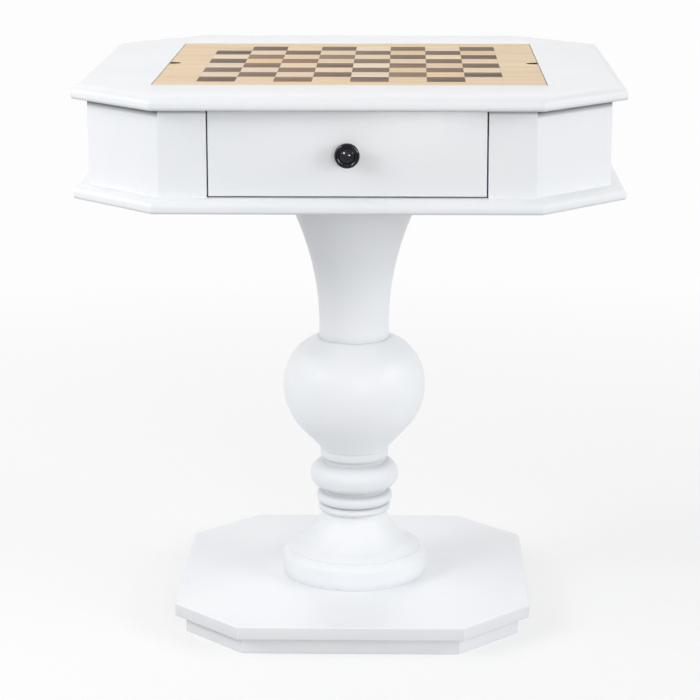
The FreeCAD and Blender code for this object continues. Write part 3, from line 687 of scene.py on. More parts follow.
@dataclass(frozen=True)
class SquareWood(Wood):
    """Wood of the inlaid squares, each of which has its own tone, level and grain."""

    roughness: float = 0.5
    streak: Triple = BLACK
    other: Triple = BLACK
    other_share: float = 0.85
    spread: float = 0.1
    heart_scale: Triple = (12.0, 220.0, 220.0)
    heart_bend: float = 0.6
    streak_edges: Pair = (0.13, 0.31)

    def start(self, graph: Graph) -> Socket:
        """Coordinates that start elsewhere and slant a little differently in each square."""
        leaning = graph.add("VectorRotate", graph.coordinates(), settings={"rotation_type": "Z_AXIS"},
                            Angle=graph.own("square_slant"))
        shift = graph.own("square_shift", "Vector")
        return graph.sums("ADD", leaning.outputs["Vector"], shift, kind="VectorMath")

    def tinted(self, graph: Graph, run: Socket, colour: Socket) -> Socket:
        """Change of tone and level from square to square, and dark streaks in a few.

        Args:
            graph: Node tree of the material.
            run: Coordinates with the grain along X.
            colour: Colour so far.

        Returns:
            The changed colour.
        """
        tone = graph.ranged(graph.own("square_tone"), 0.0, 1.0, 0.0, self.other_share)
        level = graph.ranged(graph.own("square_level"), 0.0, 1.0, 1.0 - self.spread, 1.0 + self.spread)
        mixture = graph.mixed(tone, colour, self.other)
        lit = graph.sums("SCALE", mixture, None, None, level, kind="VectorMath")
        heart = graph.noise(run, self.heart_scale, detail=5.0, rough=self.fibre_rough,
                            bend=self.heart_bend)
        across = graph.sums("ADD", graph.own("square_across"), graph.sums("SUBTRACT", heart, 0.5))
        band = graph.ranged(graph.sums("ABSOLUTE", across), *self.streak_edges, 1.0, 0.0)
        dark = graph.sums("MULTIPLY", band, graph.own("square_streak"))
        return graph.mixed(dark, lit, self.streak)


@dataclass(frozen=True)
class ZincSteel(Finish):
    """Zinc-plated steel of screws and rod."""

    colour: Triple = linear(206, 206, 204)
    dull: float = 0.72
    cloud_scale: float = 160.0
    scratch_scale: Triple = (900.0, 900.0, 60.0)
    scratch_depth: float = 0.00001
    roughness: Pair = (0.28, 0.46)

    def draw(self, graph: Graph) -> None:
        """Metal with a cloudy plating and fine scratches along its length.

        Args:
            graph: Node tree of the material.
        """
        where = graph.coordinates()
        cloud = graph.ranged(graph.noise(where, self.cloud_scale), *SOFT_BAND)
        plating = graph.mixed(cloud, self.colour, tuple(self.dull * level for level in self.colour))
        scratch = graph.noise(where, self.scratch_scale, detail=2.0)
        gloss = graph.ranged(scratch, *SOFT_BAND, *self.roughness)
        graph.surface(plating, gloss, scratch, self.scratch_depth, Metallic=1.0)


@dataclass(frozen=True)
class BlackGloss(Finish):
    """Glossy black lacquer of the knob."""

    colour: Triple = linear(12, 12, 16)
    worn: float = 2.2
    rub_scale: float = 120.0
    rub_band: Pair = (0.45, 0.75)
    peel_scale: float = 900.0
    peel_depth: float = 0.000006
    roughness: Pair = (0.06, 0.13)
    specular: float = 0.22

    def draw(self, graph: Graph) -> None:
        """Near-black lacquer with a faint peel and rubbed spots.

        Args:
            graph: Node tree of the material.
        """
        where = graph.coordinates()
        rubbed = graph.noise(where, self.rub_scale)
        lacquer = graph.mixed(graph.ranged(rubbed, *self.rub_band), self.colour,
                              tuple(self.worn * level for level in self.colour))
        gloss = graph.ranged(rubbed, *SOFT_BAND, *self.roughness)
        peel = graph.noise(where, self.peel_scale, detail=2.0)
        graph.surface(lacquer, gloss, peel, self.peel_depth, Specular_IOR_Level=self.specular)


PAINT = SatinPaint("white_satin_paint", Slot.WHITE_PAINT)
# LIGHT_PAINT is painted light: a lighter copy of the same paint for the ball, neck and base slab.
LIGHT_PAINT = replace(PAINT, colour=linear(244, 245, 247), shade=linear(241, 244, 246))
TURNED_PAINT = replace(LIGHT_PAINT, name="white_paint_on_turnings", peel_depth=0.000006, crevice=0.12)
# Crevice darkening on foot, rings and turnings is painted shade, and the rings' darker copy of the paint is
# painted shade too.
FOOT_PAINT = replace(PAINT, name="white_paint_on_foot", crevice=0.12)
RING_PAINT = replace(PAINT, name="white_paint_on_rings", colour=linear(234, 236, 239),
                     shade=linear(231, 234, 238), crevice=0.22, crevice_reach=0.05,
                     crevice_range=(0.6, 0.98))
# The lines are painted shade: under the top's overhang on the corner panels, aprons and stiles; on the
# lower moulding and underside of the top; on the case floor's lower edge; on the base slab's edge and
# underside.
CORNER_PAINT = replace(PAINT, name="white_paint_on_corners", line=0.95)
FRONT_PAINT = replace(PAINT, name="white_paint_on_front", line=0.66, line_heights=(0.7485, 0.7525))
TOP_PAINT = replace(PAINT, name="white_paint_on_top", line=0.28, line_heights=(0.76, 0.7555))
FLOOR_PAINT = replace(PAINT, name="white_paint_on_case_floor", line=0.2, line_heights=(0.6305, 0.6265))
SLAB_PAINT = replace(LIGHT_PAINT, name="white_paint_on_base_slab", shade=linear(241, 243, 246), line=0.11,
                     line_heights=(0.0421, 0.0406))
STEEL = ZincSteel("zinc_plated_steel", Slot.STEEL)
BLACK_LACQUER = BlackGloss("black_gloss_lacquer", Slot.BLACK_GLOSS)
MAPLE = Wood("maple_border", Slot.MAPLE, linear(244, 219, 184), linear(227, 196, 154), fibre=0.45,
             pore=0.12, roughness=0.5, specular=0.2)
PALE_SQUARES = SquareWood("pale_squares", Slot.PALE_SQUARE, linear(242, 214, 166), linear(224, 190, 140),
                          fibre=0.45, pore=0.12, specular=0.2, streak=linear(208, 170, 120),
                          other=linear(242, 222, 202), spread=0.06)
WALNUT_SQUARES = SquareWood("walnut_squares", Slot.WALNUT, linear(146, 110, 72), linear(88, 60, 36),
                            figure=0.7, fibre=0.6, pore=0.3, roughness=0.52, specular=0.15,
                            streak=linear(30, 18, 12), other=linear(132, 104, 80), spread=0.36)
# Dark wood colour as painted shade on the finger notches' walls.
NOTCH_SHADE = Wood("notch_stain", Slot.MAPLE, linear(112, 84, 60), linear(78, 56, 40), roughness=0.55,
                   specular=0.2, pore=0.3)
BOARD_CORE = Wood("board_core_wood", Slot.MAPLE, linear(206, 176, 132), linear(176, 140, 96),
                  roughness=0.6, specular=0.25, relief=0.00005)
BOARD_BACK = Wood("board_back_veneer", Slot.MAPLE, linear(224, 196, 156), linear(204, 170, 126),
                  roughness=0.5, specular=0.25, pore=0.2)
WELL_MAPLE = Wood("well_field_maple", Slot.MAPLE, linear(226, 198, 158), linear(208, 174, 130), pore=0.15)
WELL_WALNUT = Wood("well_points_walnut", Slot.WALNUT, linear(120, 92, 70), linear(82, 58, 42),
                   Grain.ALONG_Y, roughness=0.42, pore=0.3)
WELL_CHERRY = Wood("well_points_cherry", Slot.PALE_POINT, linear(196, 142, 98), linear(170, 112, 72),
                   Grain.ALONG_Y, roughness=0.42, pore=0.2)
PINE_X, PINE_Y, PINE_Z = (Wood("bare_pine_" + grain.name.lower(), Slot.BARE_PINE, linear(232, 207, 164),
                               linear(206, 168, 114), grain, figure=0.7, fibre=0.4, pore=0.08,
                               roughness=0.62, specular=0.25, relief=0.00005) for grain in Grain)


@dataclass
class Base:
    """Two stacked slabs with square, slightly eased edges."""

    slab: Octagon = Octagon(244.0, 91.8)
    plinth: Octagon = Octagon(229.7, 82.8)
    ease: float = 1.3
    corner_ease: float = 1.6

    def slab_shell(self, node: str, plan: Octagon) -> Shell:
        """Eight-sided slab between the heights of the frame node that it stands for."""
        low, high = (corner[2] for corner in node_box(node))
        return rounded(lambda inset: plan.inset(inset).outline(self.corner_ease), low, high, self.ease)

    def build(self) -> None:
        """Make and dress both slabs."""
        # The slab's paint is a lighter copy as painted light, with painted shade on its edge and underside.
        for node, plan, finish in (("base_slab", self.slab, SLAB_PAINT),
                                   ("base_plinth", self.plinth, PAINT)):
            place(self.slab_shell(node, plan).mesh("painted_" + node), Body.TABLE, finish, node)


@dataclass
class Column:
    """Four turned pieces from the base up to the case, sizes as radii and heights.

    The collar, ring and beads are each a radius, the half width of their swell and a
    height. The groove is a radius, a height and a gap, and the shoulder the radius, turn
    and height of an arc.
    """

    segments: int = 144
    ease: float = 0.7
    base_top: float = 42.3
    case_bottom: float = 626.0
    neck_radius: float = 49.0
    flare_start: float = 405.0
    flare_arc: float = 390.0
    ball_crease: float = 386.0
    ball_radius: float = 100.3
    ball_middle: float = 318.0
    ball_cap: Pair = (65.3, 71.0)
    bowl_arc: float = 91.0
    bowl_turn: float = 43.5
    fillet: float = 10.0
    fillet_end: float = 14.0
    ball_foot: float = 48.6
    collar: Triple = (48.2, 1.6, 211.6)
    collar_groove: float = 44.4
    waist: float = 45.8
    ring: Triple = (62.6, 19.6, 186.0)
    bead: Triple = (54.0, 8.8, 153.2)
    small_bead: Triple = (51.6, 6.0, 138.4)
    foot_neck: float = 129.0
    foot_hollow: float = 84.0
    foot_turn: Pair = (77.0, 87.6)
    foot_swell: float = 60.0
    groove: Triple = (93.0, 79.4, 1.0)
    foot_radius: float = 101.6
    shoulder: Triple = (10.0, 48.0, 67.0)

    def fillet_middle(self) -> Pair:
        """Middle of the hollow fillet that brings the ball down onto its collar.

        Returns:
            Its radius and height.
        """
        turn = math.radians(self.bowl_turn)
        end_radius = self.ball_radius - self.bowl_arc * (1.0 - math.cos(turn))
        end_height = self.ball_middle - self.bowl_arc * math.sin(turn)
        radius = self.ball_foot + self.fillet * math.cos(math.radians(self.fillet_end))
        run = (end_radius - radius + self.fillet * math.cos(turn)) / math.sin(turn)
        return radius, end_height - run * math.cos(turn) - self.fillet * math.sin(turn)

    def ball_bottom(self) -> float:
        """Height at which the ball meets its collar."""
        return self.fillet_middle()[1] + self.fillet * math.sin(math.radians(self.fillet_end))

    def rings_bottom(self) -> float:
        """Height at which the small bead meets the foot."""
        return self.small_bead[2] - self.small_bead[1]

    def foot_section(self) -> Section:
        """Rim, shoulder, fine groove, swell and hollow flare up to the waist.

        Returns:
            The half section.
        """
        section = Section(self.base_top, pitch=1.6)
        section.line((self.foot_radius, self.base_top))
        arc, turn, middle = self.shoulder
        section.arc((self.foot_radius - arc, middle), arc, 0.0, turn)
        radius, top, gap = self.groove
        inside = radius - gap / 2.0
        section.line((radius + gap, top - gap), (inside, top - gap), (inside, top))
        section.bow(self.foot_turn, -self.foot_swell)
        section.bow((self.waist, self.foot_neck), self.foot_hollow)
        section.line((self.waist, self.rings_bottom()))
        return section

    def rings_section(self) -> Section:
        """Two beads, the big ring and the collar.

        Returns:
            The half section.
        """
        section = Section(self.rings_bottom(), pitch=0.9)
        for radius, arc, middle in (self.small_bead, self.bead, self.ring):
            centre = radius - arc
            reach = math.degrees(math.acos(max(self.waist - centre, 0.0) / arc))
            section.arc((centre, middle), arc, -reach, reach)
            section.line((self.waist, section.here[1]))
        radius, swell, bottom = self.collar
        section.line((self.collar_groove, section.here[1]), (self.collar_groove, bottom))
        half = (self.ball_bottom() - bottom) / 2.0
        section.arc((radius - swell, bottom + half), (swell, half), -90.0, 90.0)
        return section

    def ball_section(self) -> Section:
        """An elliptical cap over a rounder bowl, brought in by a fillet.

        Returns:
            The half section.
        """
        section = Section(self.ball_bottom(), pitch=2.2)
        section.line((self.ball_foot, self.ball_bottom()))
        section.arc(self.fillet_middle(), self.fillet, 180.0 - self.fillet_end, 180.0 - self.bowl_turn)
        section.arc((self.ball_radius - self.bowl_arc, self.ball_middle), self.bowl_arc,
                    -self.bowl_turn, 0.0)
        wide, high = self.ball_cap
        end = math.degrees(math.asin((self.ball_crease - self.ball_middle) / high))
        section.arc((self.ball_radius - wide, self.ball_middle), self.ball_cap, 0.0, end)
        return section

    def neck_section(self) -> Section:
        """Straight neck that flares like a trumpet up to the case.

        Returns:
            The half section.
        """
        section = Section(self.ball_crease, pitch=3.0)
        section.line((self.neck_radius, self.ball_crease))
        rise = math.degrees(math.asin((self.case_bottom - self.flare_start) / self.flare_arc))
        section.arc((self.neck_radius + self.flare_arc, self.flare_start), self.flare_arc,
                    180.0, 180.0 - rise)
        return section

    def build(self) -> None:
        """Turn and dress the four pieces."""
        # Foot, rings and turnings take paints with painted crevice shade; the rings' paint is a darker copy
        # as painted shade, the ball's and neck's a lighter copy as painted light.
        for node, section, finish in (("column_foot", self.foot_section(), FOOT_PAINT),
                                      ("column_rings", self.rings_section(), RING_PAINT),
                                      ("column_ball", self.ball_section(), TURNED_PAINT),
                                      ("column_neck", self.neck_section(), TURNED_PAINT)):
            shell = turned(section.points(self.ease), self.segments)
            place(shell.mesh("painted_" + node), Body.TABLE, finish, node)


@dataclass(frozen=True)
class MouldedSlab:
    """Eight-sided slab whose edge is a quarter ellipse over a small round."""

    plan: Octagon = Octagon(355.6, 112.0)
    corner_ease: float = 1.2
    wide: float = 18.0
    high: float = 10.5
    round: float = 3.0
    round_steps: int = 6
    steps: int = 16

    def rows(self, node: str) -> tuple[Points, Points]:
        """Outlines and heights up the edge.

        The round's rows lie round (1 - sin t) inside the outline and rise by
        round (1 - cos t), and the ellipse's lie wide (1 - cos t) inside it and rise by
        high sin t.

        Args:
            node: Frame node that gives the height of the underside and of the upper face.

        Returns:
            Array (rows, points, 2) of outlines, and the height of each.
        """
        low, high = node_box(node)
        low_turn, turn = quarter(self.round_steps), quarter(self.steps)
        insets = np.concatenate([self.round * (1.0 - np.sin(low_turn)), self.wide * (1.0 - np.cos(turn))])
        heights = np.concatenate([low[2] + self.round * (1.0 - np.cos(low_turn)),
                                  high[2] - self.high + self.high * np.sin(turn)])
        return np.stack([self.plan.inset(inset).outline(self.corner_ease) for inset in insets]), heights


@dataclass
class Case:
    """Moulded floor, mitred aprons and front stiles of the box under the top."""

    slab: MouldedSlab = MouldedSlab()
    overhang: float = 19.5
    thick: float = 18.0
    corner_ease: float = 2.2
    stile_ease: float = 0.9
    inner_ease: float = 1.0
    arc_steps: int = 6
    # Sides of the ring, anticlockwise from the front right corner.
    sides: tuple[str, ...] = ("corner_panel_front_right", "apron_right", "corner_panel_back_right",
                              "apron_back", "corner_panel_back_left", "apron_left",
                              "corner_panel_front_left")

    def corner_halves(self, index: int) -> tuple[Points, Points]:
        """Rounded corner of the ring of sides, cut in two at its mitre.

        Args:
            index: Number of the corner, anticlockwise from the front right.

        Returns:
            The points up to the mitre, and those from it.
        """
        arcs = self.slab.plan.inset(self.overhang).outline(self.corner_ease, self.arc_steps)
        arc = arcs.reshape(SIDES, self.arc_steps + 1, 2)[index]
        middle = self.arc_steps // 2
        return arc[:middle + 1], arc[middle:]

    def upright(self, *runs: Points) -> Shell:
        """Straight prism from the case floor to the top, over runs of an anticlockwise outline."""
        low, high = node_box("apron_back")
        return prism(np.concatenate(runs), low[2], high[2])

    def inner(self) -> Points:
        """Inner corners of the ring of sides."""
        return self.slab.plan.inset(self.overhang + self.thick).corners()

    def panel_shell(self, index: int) -> Shell:
        """Side of the ring from one of its corners to the next, its outer corners half rounded."""
        after = (index + 1) % SIDES
        near, far = self.corner_halves(index)[1], self.corner_halves(after)[0]
        return self.upright(near, far, self.inner()[[after, index]])

    def stile_shell(self) -> Shell:
        """Upright between the drawer and the front right corner."""
        low = node_box("front_stile_right")[0][:2]
        edge = low + self.stile_ease * (1.0 + around(math.pi + quarter()))
        back = low[None] + (0.0, self.thick)
        return self.upright(edge, self.corner_halves(0)[0], self.inner()[:1], back)

    def build(self) -> None:
        """Make and dress the floor, the sides and the stiles."""
        shells = {node: self.panel_shell(index) for index, node in enumerate(self.sides)}
        shells["case_floor"] = stacked(*self.slab.rows("case_floor"))
        shells["front_stile_right"] = self.stile_shell()
        shells["front_stile_left"] = self.stile_shell().mirrored()
        # Corner panels, aprons and stiles take paints with a painted shadow under the top's overhang, and
        # the case floor one with painted shade along its lower edge.
        finishes = {"corner": CORNER_PAINT, "case": FLOOR_PAINT}
        for node, shell in shells.items():
            finish = finishes.get(node.split("_")[0], FRONT_PAINT)
            place(shell.mesh("painted_" + node), Body.TABLE, finish, node)
        eased_copies(Body.TABLE, self.inner_ease, PINE_Z, "corner_posts")
        eased_copies(Body.TABLE, self.inner_ease, PINE_X, "top_cleats")


@dataclass
class Top:
    """Moulded top with the opening that the game board drops into."""

    slab: MouldedSlab = MouldedSlab()
    opening: Pair = (253.8, 239.8)
    opening_ease: float = 0.7
    opening_corner: float = 1.6

    def shell(self) -> Shell:
        """Ring with four sides in section: moulded edge, upper face, opening, underside.

        The opening's edge is a quarter round: its rows lie ease (1 - sin t) outside the
        opening and fall by ease (1 - cos t).

        Returns:
            The closed shell.
        """
        low, high = node_box("top_slab")
        outer, heights = self.slab.rows("top_slab")
        half = np.array(self.opening)
        grown = np.append(self.opening_ease * (1.0 - np.sin(quarter())), 0.0)
        fall = self.opening_ease * (1.0 - np.cos(quarter()))
        corner = self.opening_corner
        inner = np.stack([rectangle(-half - more, half + more, corner + more) for more in grown])
        return stacked(np.concatenate([outer, inner]),
                       np.concatenate([heights, high[2] - fall, low[2:]]), closed=True)

    def build(self) -> None:
        """Make and dress the top."""
        # Its paint has painted shade on the lower part of the moulding and on the underside.
        place(self.shell().mesh("painted_top_slab"), Body.TABLE, TOP_PAINT, "top_slab")


@dataclass
class Well:
    """Shallow box under the game board, laid out for backgammon."""

    ease: float = 0.8

    def build(self) -> None:
        """Dress the sides, the floor and the inlaid field."""
        eased_copies(Body.TABLE, self.ease, PAINT, "well_side_left", "well_side_right", "well_side_front",
                     "well_side_back")
        eased_copies(Body.TABLE, self.ease, PINE_Y, "well_bar")
        PINE_X.dress_nodes("well_floor")
        WELL_MAPLE.dress_nodes("well_field")
        WELL_WALNUT.dress_nodes("well_points_dark")
        WELL_CHERRY.dress_nodes("well_points_light")


@dataclass
class Knob:
    """Round knob on a stem, drawn along its own axis from the drawer's front."""

    radius: float = 15.8
    stem_radius: float = 6.5
    stem: float = 10.0
    stem_flare: float = 1.5
    stem_turn: float = 50.0
    back_turn: float = 80.0
    rim_wide: float = 2.4
    rim_high: float = 3.4
    head_back: float = 5.0
    dome_radius: float = 10.6
    dome_rise: float = 6.0
    groove_depth: float = 2.2
    groove_wide: float = 0.3
    ease: float = 0.2
    segments: int = 96

    def section(self) -> Section:
        """Waisted stem, round-backed head with a rim, a cove inside it and a low dome.

        Returns:
            The half section.
        """
        section = Section(0.0, pitch=0.4)
        foot = self.stem_radius + self.stem_flare
        waist, turn = self.stem / 2.0, self.stem_turn
        section.line((foot, 0.0))
        section.arc((self.stem_radius + waist, waist), waist, 180.0 + turn, 180.0 - turn)
        section.line((foot, self.stem))
        rim_back = self.stem + self.head_back
        section.arc((self.radius - self.head_back, rim_back), self.head_back, -self.back_turn, 0.0)
        rim_inside = self.radius - self.rim_wide
        rim_top = rim_back + self.rim_high
        section.arc((rim_inside, rim_back), (self.rim_wide, self.rim_high), 0.0, 90.0)
        groove_edge = self.dome_radius + self.groove_wide
        section.arc((groove_edge, rim_top), (rim_inside - groove_edge, self.groove_depth), 0.0, -90.0)
        ball = (self.dome_radius ** 2 + self.dome_rise ** 2) / (2.0 * self.dome_rise)
        sunk = ball - self.dome_rise
        section.arc((0.0, rim_top - self.groove_depth - sunk), ball,
                    math.degrees(math.asin(sunk / ball)), 90.0)
        return section

    def build(self, front: float) -> None:
        """Make and dress the knob.

        Args:
            front: Plane of the drawer's front.
        """
        height = np.mean(node_box("drawer_knob"), axis=0)[2]
        shell = turned(self.section().points(self.ease), self.segments).facing_front(front, height)
        place(shell.mesh("black_drawer_knob"), Body.DRAWER, BLACK_LACQUER, "drawer_knob")


@dataclass
class Drawer:
    """Flush drawer front, its box, and the rails that guide it."""

    ease: float = 1.0
    inner_ease: float = 0.8

    def build(self) -> None:
        """Make and dress the drawer and what guides it."""
        low, high = node_box("drawer_front")
        shell = eased_block(low, high, self.ease)
        place(shell.mesh("painted_drawer_front"), Body.DRAWER, PAINT, "drawer_front")
        Knob().build(low[1])
        for body, finish, *nodes in (
                (Body.DRAWER, PINE_Y, "drawer_side_left", "drawer_side_right"),
                (Body.DRAWER, PINE_X, "drawer_back", "stop_button"),
                (Body.TABLE, PINE_Y, "drawer_runner_left", "drawer_runner_right", "drawer_kickers",
                 "drawer_stops"),
                (Body.TABLE, PINE_X, "stop_strip")):
            eased_copies(body, self.inner_ease, finish, *nodes)
        PINE_X.dress_nodes("drawer_bottom")
        PINE_Y.dress_nodes("drawer_dowels")


@dataclass
class Board:
    """Lift-out board: inlaid squares and a maple border over a core."""

    side: int = 8
    square: float = 49.8
    half: Pair = (253.0, 239.0)
    notch_depth: float = 16.0
    notch_wide: float = 20.0
    notch_steps: int = 20
    seam: float = 0.07
    tile_ease: float = 0.16
    border_ease: float = 0.35
    layer_ease: float = 0.2
    seed: int = 7
    slant: float = math.radians(1.6)
    # Furthest that a square's grain is shifted, in metres.
    shift: float = 5.0
    # Squares with a dark streak, as column and row from the front left.
    streaked: tuple[tuple[int, int], ...] = ((0, 6), (7, 5), (7, 1))
    streak: float = 0.9
    faint_streak: float = 0.34
    # A notch's walls lie inside this measure of its ellipse, and their normals under this slope.
    hair: float = 1.1
    upright: float = 0.5

    def build_squares(self, name: str, node: str, dark: bool, finish: Finish) -> None:
        """Make all the squares of one colour, each a thin tile with its own tone and grain.

        Args:
            name: Name of the piece.
            node: Frame node that they stand for, which gives their heights.
            dark: Whether they are the dark ones, on which column and row add up to an even number.
            finish: Their finish.
        """
        low, high = node_box(node)
        column, row = np.indices((self.side, self.side)).reshape(2, -1)
        mine = (column + row) % 2 == (0 if dark else 1)
        column, row = column[mine], row[mine]
        count = len(row)
        near, far = self.seam, self.square - self.seam
        tile = eased_block((near, near, low[2]), (far, far, high[2]), self.tile_ease)
        corners = np.zeros((count, 3))
        corners[:, :2] = self.square * (np.stack([column, row], axis=1) - self.side / 2.0)
        mesh = tile.repeated(corners).mesh(name)
        place(mesh, Body.BOARD, finish, node)
        draw = np.random.default_rng(self.seed + dark)
        streaked = [self.side * c + r for c, r in self.streaked]
        for key, values in (
                ("square_tone", draw.random(count)),
                ("square_level", draw.random(count)),
                ("square_slant", draw.normal(0.0, self.slant, count)),
                ("square_shift", draw.uniform(-self.shift, self.shift, (count, 3))),
                ("square_streak", np.where(np.isin(self.side * column + row, streaked), self.streak,
                                           self.faint_streak * draw.random(count))),
                ("square_across", np.tile(tile.points[:, 1] / self.square - 0.5, count))):
            kind, part = ("FLOAT", "value") if values.ndim == 1 else ("FLOAT_VECTOR", "vector")
            attribute = mesh.attributes.new(key, kind, "POINT")
            each = np.repeat(values, len(mesh.vertices) // len(values), axis=0)
            attribute.data.foreach_set(part, each.ravel().astype(np.float32))

    def right_end(self) -> Points:
        """Right-hand end of the board, with half an ellipse as its notch.

        Returns:
            Array (points, 2) from front to back.
        """
        x, y = self.half
        turn = np.linspace(-math.pi / 2.0, math.pi / 2.0, self.notch_steps + 1)
        notch = (x, 0.0) + around(turn) * (-self.notch_depth, self.notch_wide / 2.0)
        return np.concatenate([[(x, -y)], notch, [(x, y)]])

    def border_shells(self) -> dict[str, Shell]:
        """Four mitred strips round the squares.

        Returns:
            The closed shells, by side.
        """
        low, high = (corner[2] for corner in node_box("board_border_right"))
        x, y = self.half
        inner = self.side * self.square / 2.0
        right = prism(np.concatenate([self.right_end(), [(inner, inner), (inner, -inner)]]), low, high)
        front = np.array([(-x, -y), (x, -y), (inner, -inner), (-inner, -inner)])
        return {"right": right, "left": right.mirrored(), "front": prism(front, low, high),
                "back": prism(-front, low, high)}

    def layer_shell(self, node: str) -> Shell:
        """Whole layer of the board between a node's heights, with both notches cut through it."""
        low, high = node_box(node)
        return prism(np.concatenate([self.right_end(), -self.right_end()]), low[2], high[2])

    def place_notched(self, mesh: Mesh, ease: float, finish: Finish, *nodes: str) -> None:
        """Place a piece with finger notches, and give their walls a dark wood colour as painted shade.

        A wall is a face that stands upright and whose middle lies within a hair of the
        half ellipse.

        Args:
            mesh: Mesh of the piece.
            ease: Width of the easing, in millimetres.
            finish: Its finish.
            *nodes: Frame nodes that it stands for.
        """
        place(mesh, Body.BOARD, finish, *nodes, ease=ease)
        # Painted shade: the notch walls take the dark wood colour.
        mesh.materials.append(NOTCH_SHADE.material())
        centre, normal = np.zeros((2, 3 * len(mesh.polygons)), np.float32)
        mesh.polygons.foreach_get("center", centre)
        mesh.polygons.foreach_get("normal", normal)
        x, y, _ = centre.reshape(-1, 3).T / MILLIMETRE
        inward = (self.half[0] - np.abs(x)) / self.notch_depth
        inside = inward ** 2 + (2.0 * y / self.notch_wide) ** 2 < self.hair
        walls = inside & (np.abs(normal[2::3]) < self.upright)
        mesh.polygons.foreach_set("material_index", walls.astype(np.int32))

    def build(self) -> None:
        """Make and dress the board."""
        self.build_squares("walnut_squares", "board_squares_dark", True, WALNUT_SQUARES)
        self.build_squares("pale_squares", "board_squares_light", False, PALE_SQUARES)
        for side, shell in self.border_shells().items():
            self.place_notched(shell.mesh("maple_border_" + side), self.border_ease, MAPLE,
                               "board_border_" + side)
        for finish, *nodes in ((BOARD_CORE, "board_core", "board_edge_strips"),
                               (BOARD_BACK, "board_backing")):
            mesh = self.layer_shell(nodes[0]).mesh("notched_" + nodes[0])
            self.place_notched(mesh, self.layer_ease, finish, *nodes)


@dataclass
class Fasteners:
    """Screws, rod, nuts and washers inside the table."""

    nodes: tuple[str, ...] = ("tie_rod", "tie_rod_nuts", "tie_rod_washers", "plinth_screws", "foot_screws",
                              "column_screws", "floor_screws", "cleat_screws", "knob_screw")

    def build(self) -> None:
        """Dress them all in zinc-plated steel."""
        STEEL.dress_nodes(*self.nodes)


@dataclass
class Lamp:
    """Round softbox aimed at the middle of the table.

    The strength is the light that arrives at its aim, and the spread is the angle under
    which its disk is seen from there. A lamp may light one piece only, and a broad one
    may leave no reflection, so that the top doesn't glare on the far side.
    """

    name: str
    azimuth: float
    elevation: float
    strength: float
    spread: float
    distance: float = 3.0
    aim_height: float = 0.4
    only: str = ""
    mirrored: bool = True

    def build(self) -> None:
        """Hang the lamp out of the camera's sight."""
        light = bpy.data.lights.new(self.name, "AREA")
        light.shape = "DISK"
        light.size = 2.0 * self.distance * math.tan(math.radians(self.spread) / 2.0)
        light.energy = self.strength * math.pi * self.distance ** 2
        lamp = added(self.name, light)
        tilt, turn = math.radians(90.0 - self.elevation), math.radians(self.azimuth)
        across = self.distance * math.sin(tilt)
        lamp.rotation_euler = (tilt, 0.0, turn)
        lamp.location = (across * math.sin(turn), -across * math.cos(turn),
                         self.aim_height + self.distance * math.cos(tilt))
        lamp.visible_camera = False
        lamp.visible_glossy = self.mirrored
        if self.only:
            lit = bpy.data.collections.new("lit_by_" + self.name)
            lit.objects.link(bpy.data.objects[self.only])
            lamp.light_linking.receiver_collection = lit


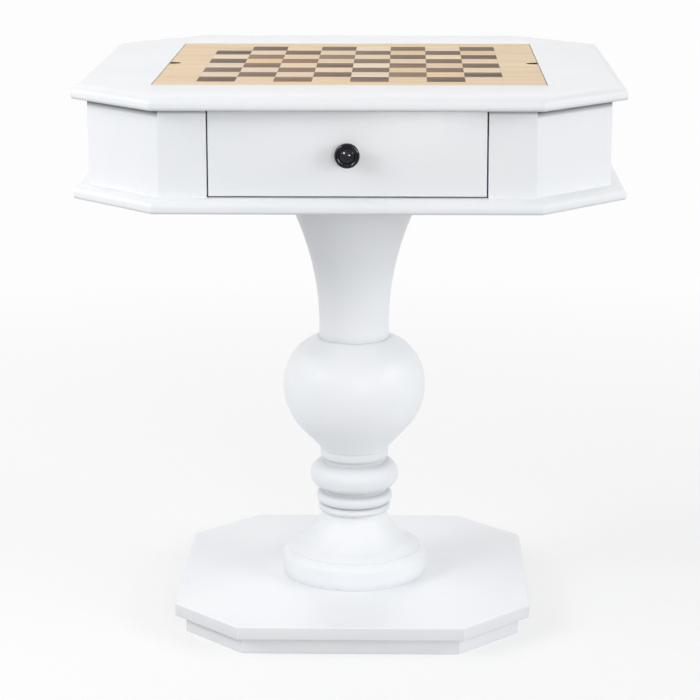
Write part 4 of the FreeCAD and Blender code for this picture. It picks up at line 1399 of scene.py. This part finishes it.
@dataclass
class Studio:
    """Camera, pale floor and soft lamps.

    Near the table the floor shows paper in the lamps' light, with its shadow, and far
    from it the paper glows by itself. The floor's light on the table is a grey bounce,
    which fades with the distance.
    """

    camera_place: Triple = (0.0760, -3.1740, 1.1549)
    yaw: float = -0.870
    pitch: float = 12.23
    focal_pixels: float = 2314.0
    shift: Pair = (-0.034, -0.100)
    clip_end: float = 200.0
    floor_half: float = 60.0
    glow_reach: Pair = (0.6, 2.2)
    own_glow: float = 0.6
    paper: Triple = linear(254, 254, 254)
    glow: Triple = linear(253, 253, 253)
    bounce: Triple = (0.62, 0.62, 0.62)
    far_bounce: Triple = (0.38, 0.38, 0.38)
    bounce_reach: Pair = (0.7, 1.6)
    ambient: Triple = (0.312, 0.316, 0.322)
    lamps: tuple[Lamp, ...] = (
        Lamp("key_left", -60.0, 27.0, 1.18, 36.0, 2.8, mirrored=False),
        Lamp("key_left_core", -62.0, 25.0, 0.25, 9.0, 2.8),
        Lamp("high_left", -95.0, 34.0, 0.44, 30.0, 4.0),
        Lamp("front", 13.0, 13.0, 0.4, 9.0, 3.2),
        Lamp("front_wide", 15.0, 24.0, 0.16, 40.0, 4.5),
        Lamp("fill_right", 56.0, 12.0, 0.9, 28.0, 10.0, mirrored=False),
        Lamp("fill_right_core", 68.0, 25.0, 0.17, 9.0, 4.0),
        Lamp("side_right", 84.0, 30.0, 0.5, 30.0, 4.0),
        Lamp("back", 180.0, 43.0, 0.6, 56.0, 5.0),
        Lamp("knob_left", -35.0, 33.0, 3.4, 18.0, only="black_drawer_knob"),
        Lamp("knob_right", 26.0, 13.0, 2.4, 14.0, only="black_drawer_knob"),
    )

    def build_camera(self) -> None:
        """Place the camera at the photograph's viewing angle."""
        data = bpy.data.cameras.new("camera")
        data.sensor_width = SENSOR_WIDTH
        data.lens = self.focal_pixels / PHOTO_PIXELS * SENSOR_WIDTH
        data.shift_x, data.shift_y = self.shift
        data.clip_end = self.clip_end
        camera = added("camera", data)
        camera.location = self.camera_place
        camera.rotation_euler = (math.radians(90.0 - self.pitch), 0.0, -math.radians(self.yaw))
        bpy.context.scene.camera = camera

    def build_floor(self) -> None:
        """Lay the pale floor that keeps the table's shadow."""
        mesh = bpy.data.meshes.new("floor")
        corners = self.floor_half * np.array([(-1, -1, 0), (1, -1, 0), (1, 1, 0), (-1, 1, 0)])
        mesh.from_pydata(corners.tolist(), [], [[0, 1, 2, 3]])
        floor = added("floor", mesh)
        material = bpy.data.materials.new("floor_paper")
        graph = Graph(material)
        seen = graph.seen_directly()
        away = graph.sums("LENGTH", graph.coordinates(), kind="VectorMath", output=1)
        fade = graph.ranged(away, *self.glow_reach, self.own_glow, 1.0)
        near = graph.mixed(fade, self.paper, BLACK)
        unseen = graph.mixed(graph.ranged(away, *self.bounce_reach), self.bounce, self.far_bounce)
        graph.fill(graph.shader, Base_Color=graph.mixed(seen, unseen, near), Emission_Strength=seen,
                   Emission_Color=graph.mixed(fade, BLACK, self.glow), Roughness=1.0,
                   Specular_IOR_Level=0.0)
        mesh.materials.append(material)

    def build_world(self) -> None:
        """Even light all round, and white paper wherever the camera or a gloss looks."""
        world = bpy.data.worlds.new("studio")
        bpy.context.scene.world = world
        graph = Graph(world)
        graph.tree.nodes.clear()
        lights = (graph.add("Background", (*colour, 1.0)).outputs[0]
                  for colour in (self.ambient, self.glow))
        graph.add("OutputWorld", graph.add("MixShader", graph.seen_directly(), *lights).outputs[0])

    def build(self) -> None:
        """Set up everything that isn't the table."""
        bpy.context.scene.view_settings.view_transform = "Standard"
        self.build_camera()
        self.build_floor()
        self.build_world()
        for lamp in self.lamps:
            lamp.build()


def main() -> None:
    logging.basicConfig(level=logging.INFO, format="%(name)s: %(message)s")
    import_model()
    for part in (Base(), Column(), Case(), Top(), Well(), Drawer(), Board(), Fasteners()):
        LOG.info("building %s", type(part).__name__)
        part.build()
    Studio().build()


if __name__ == "__main__":
    main()
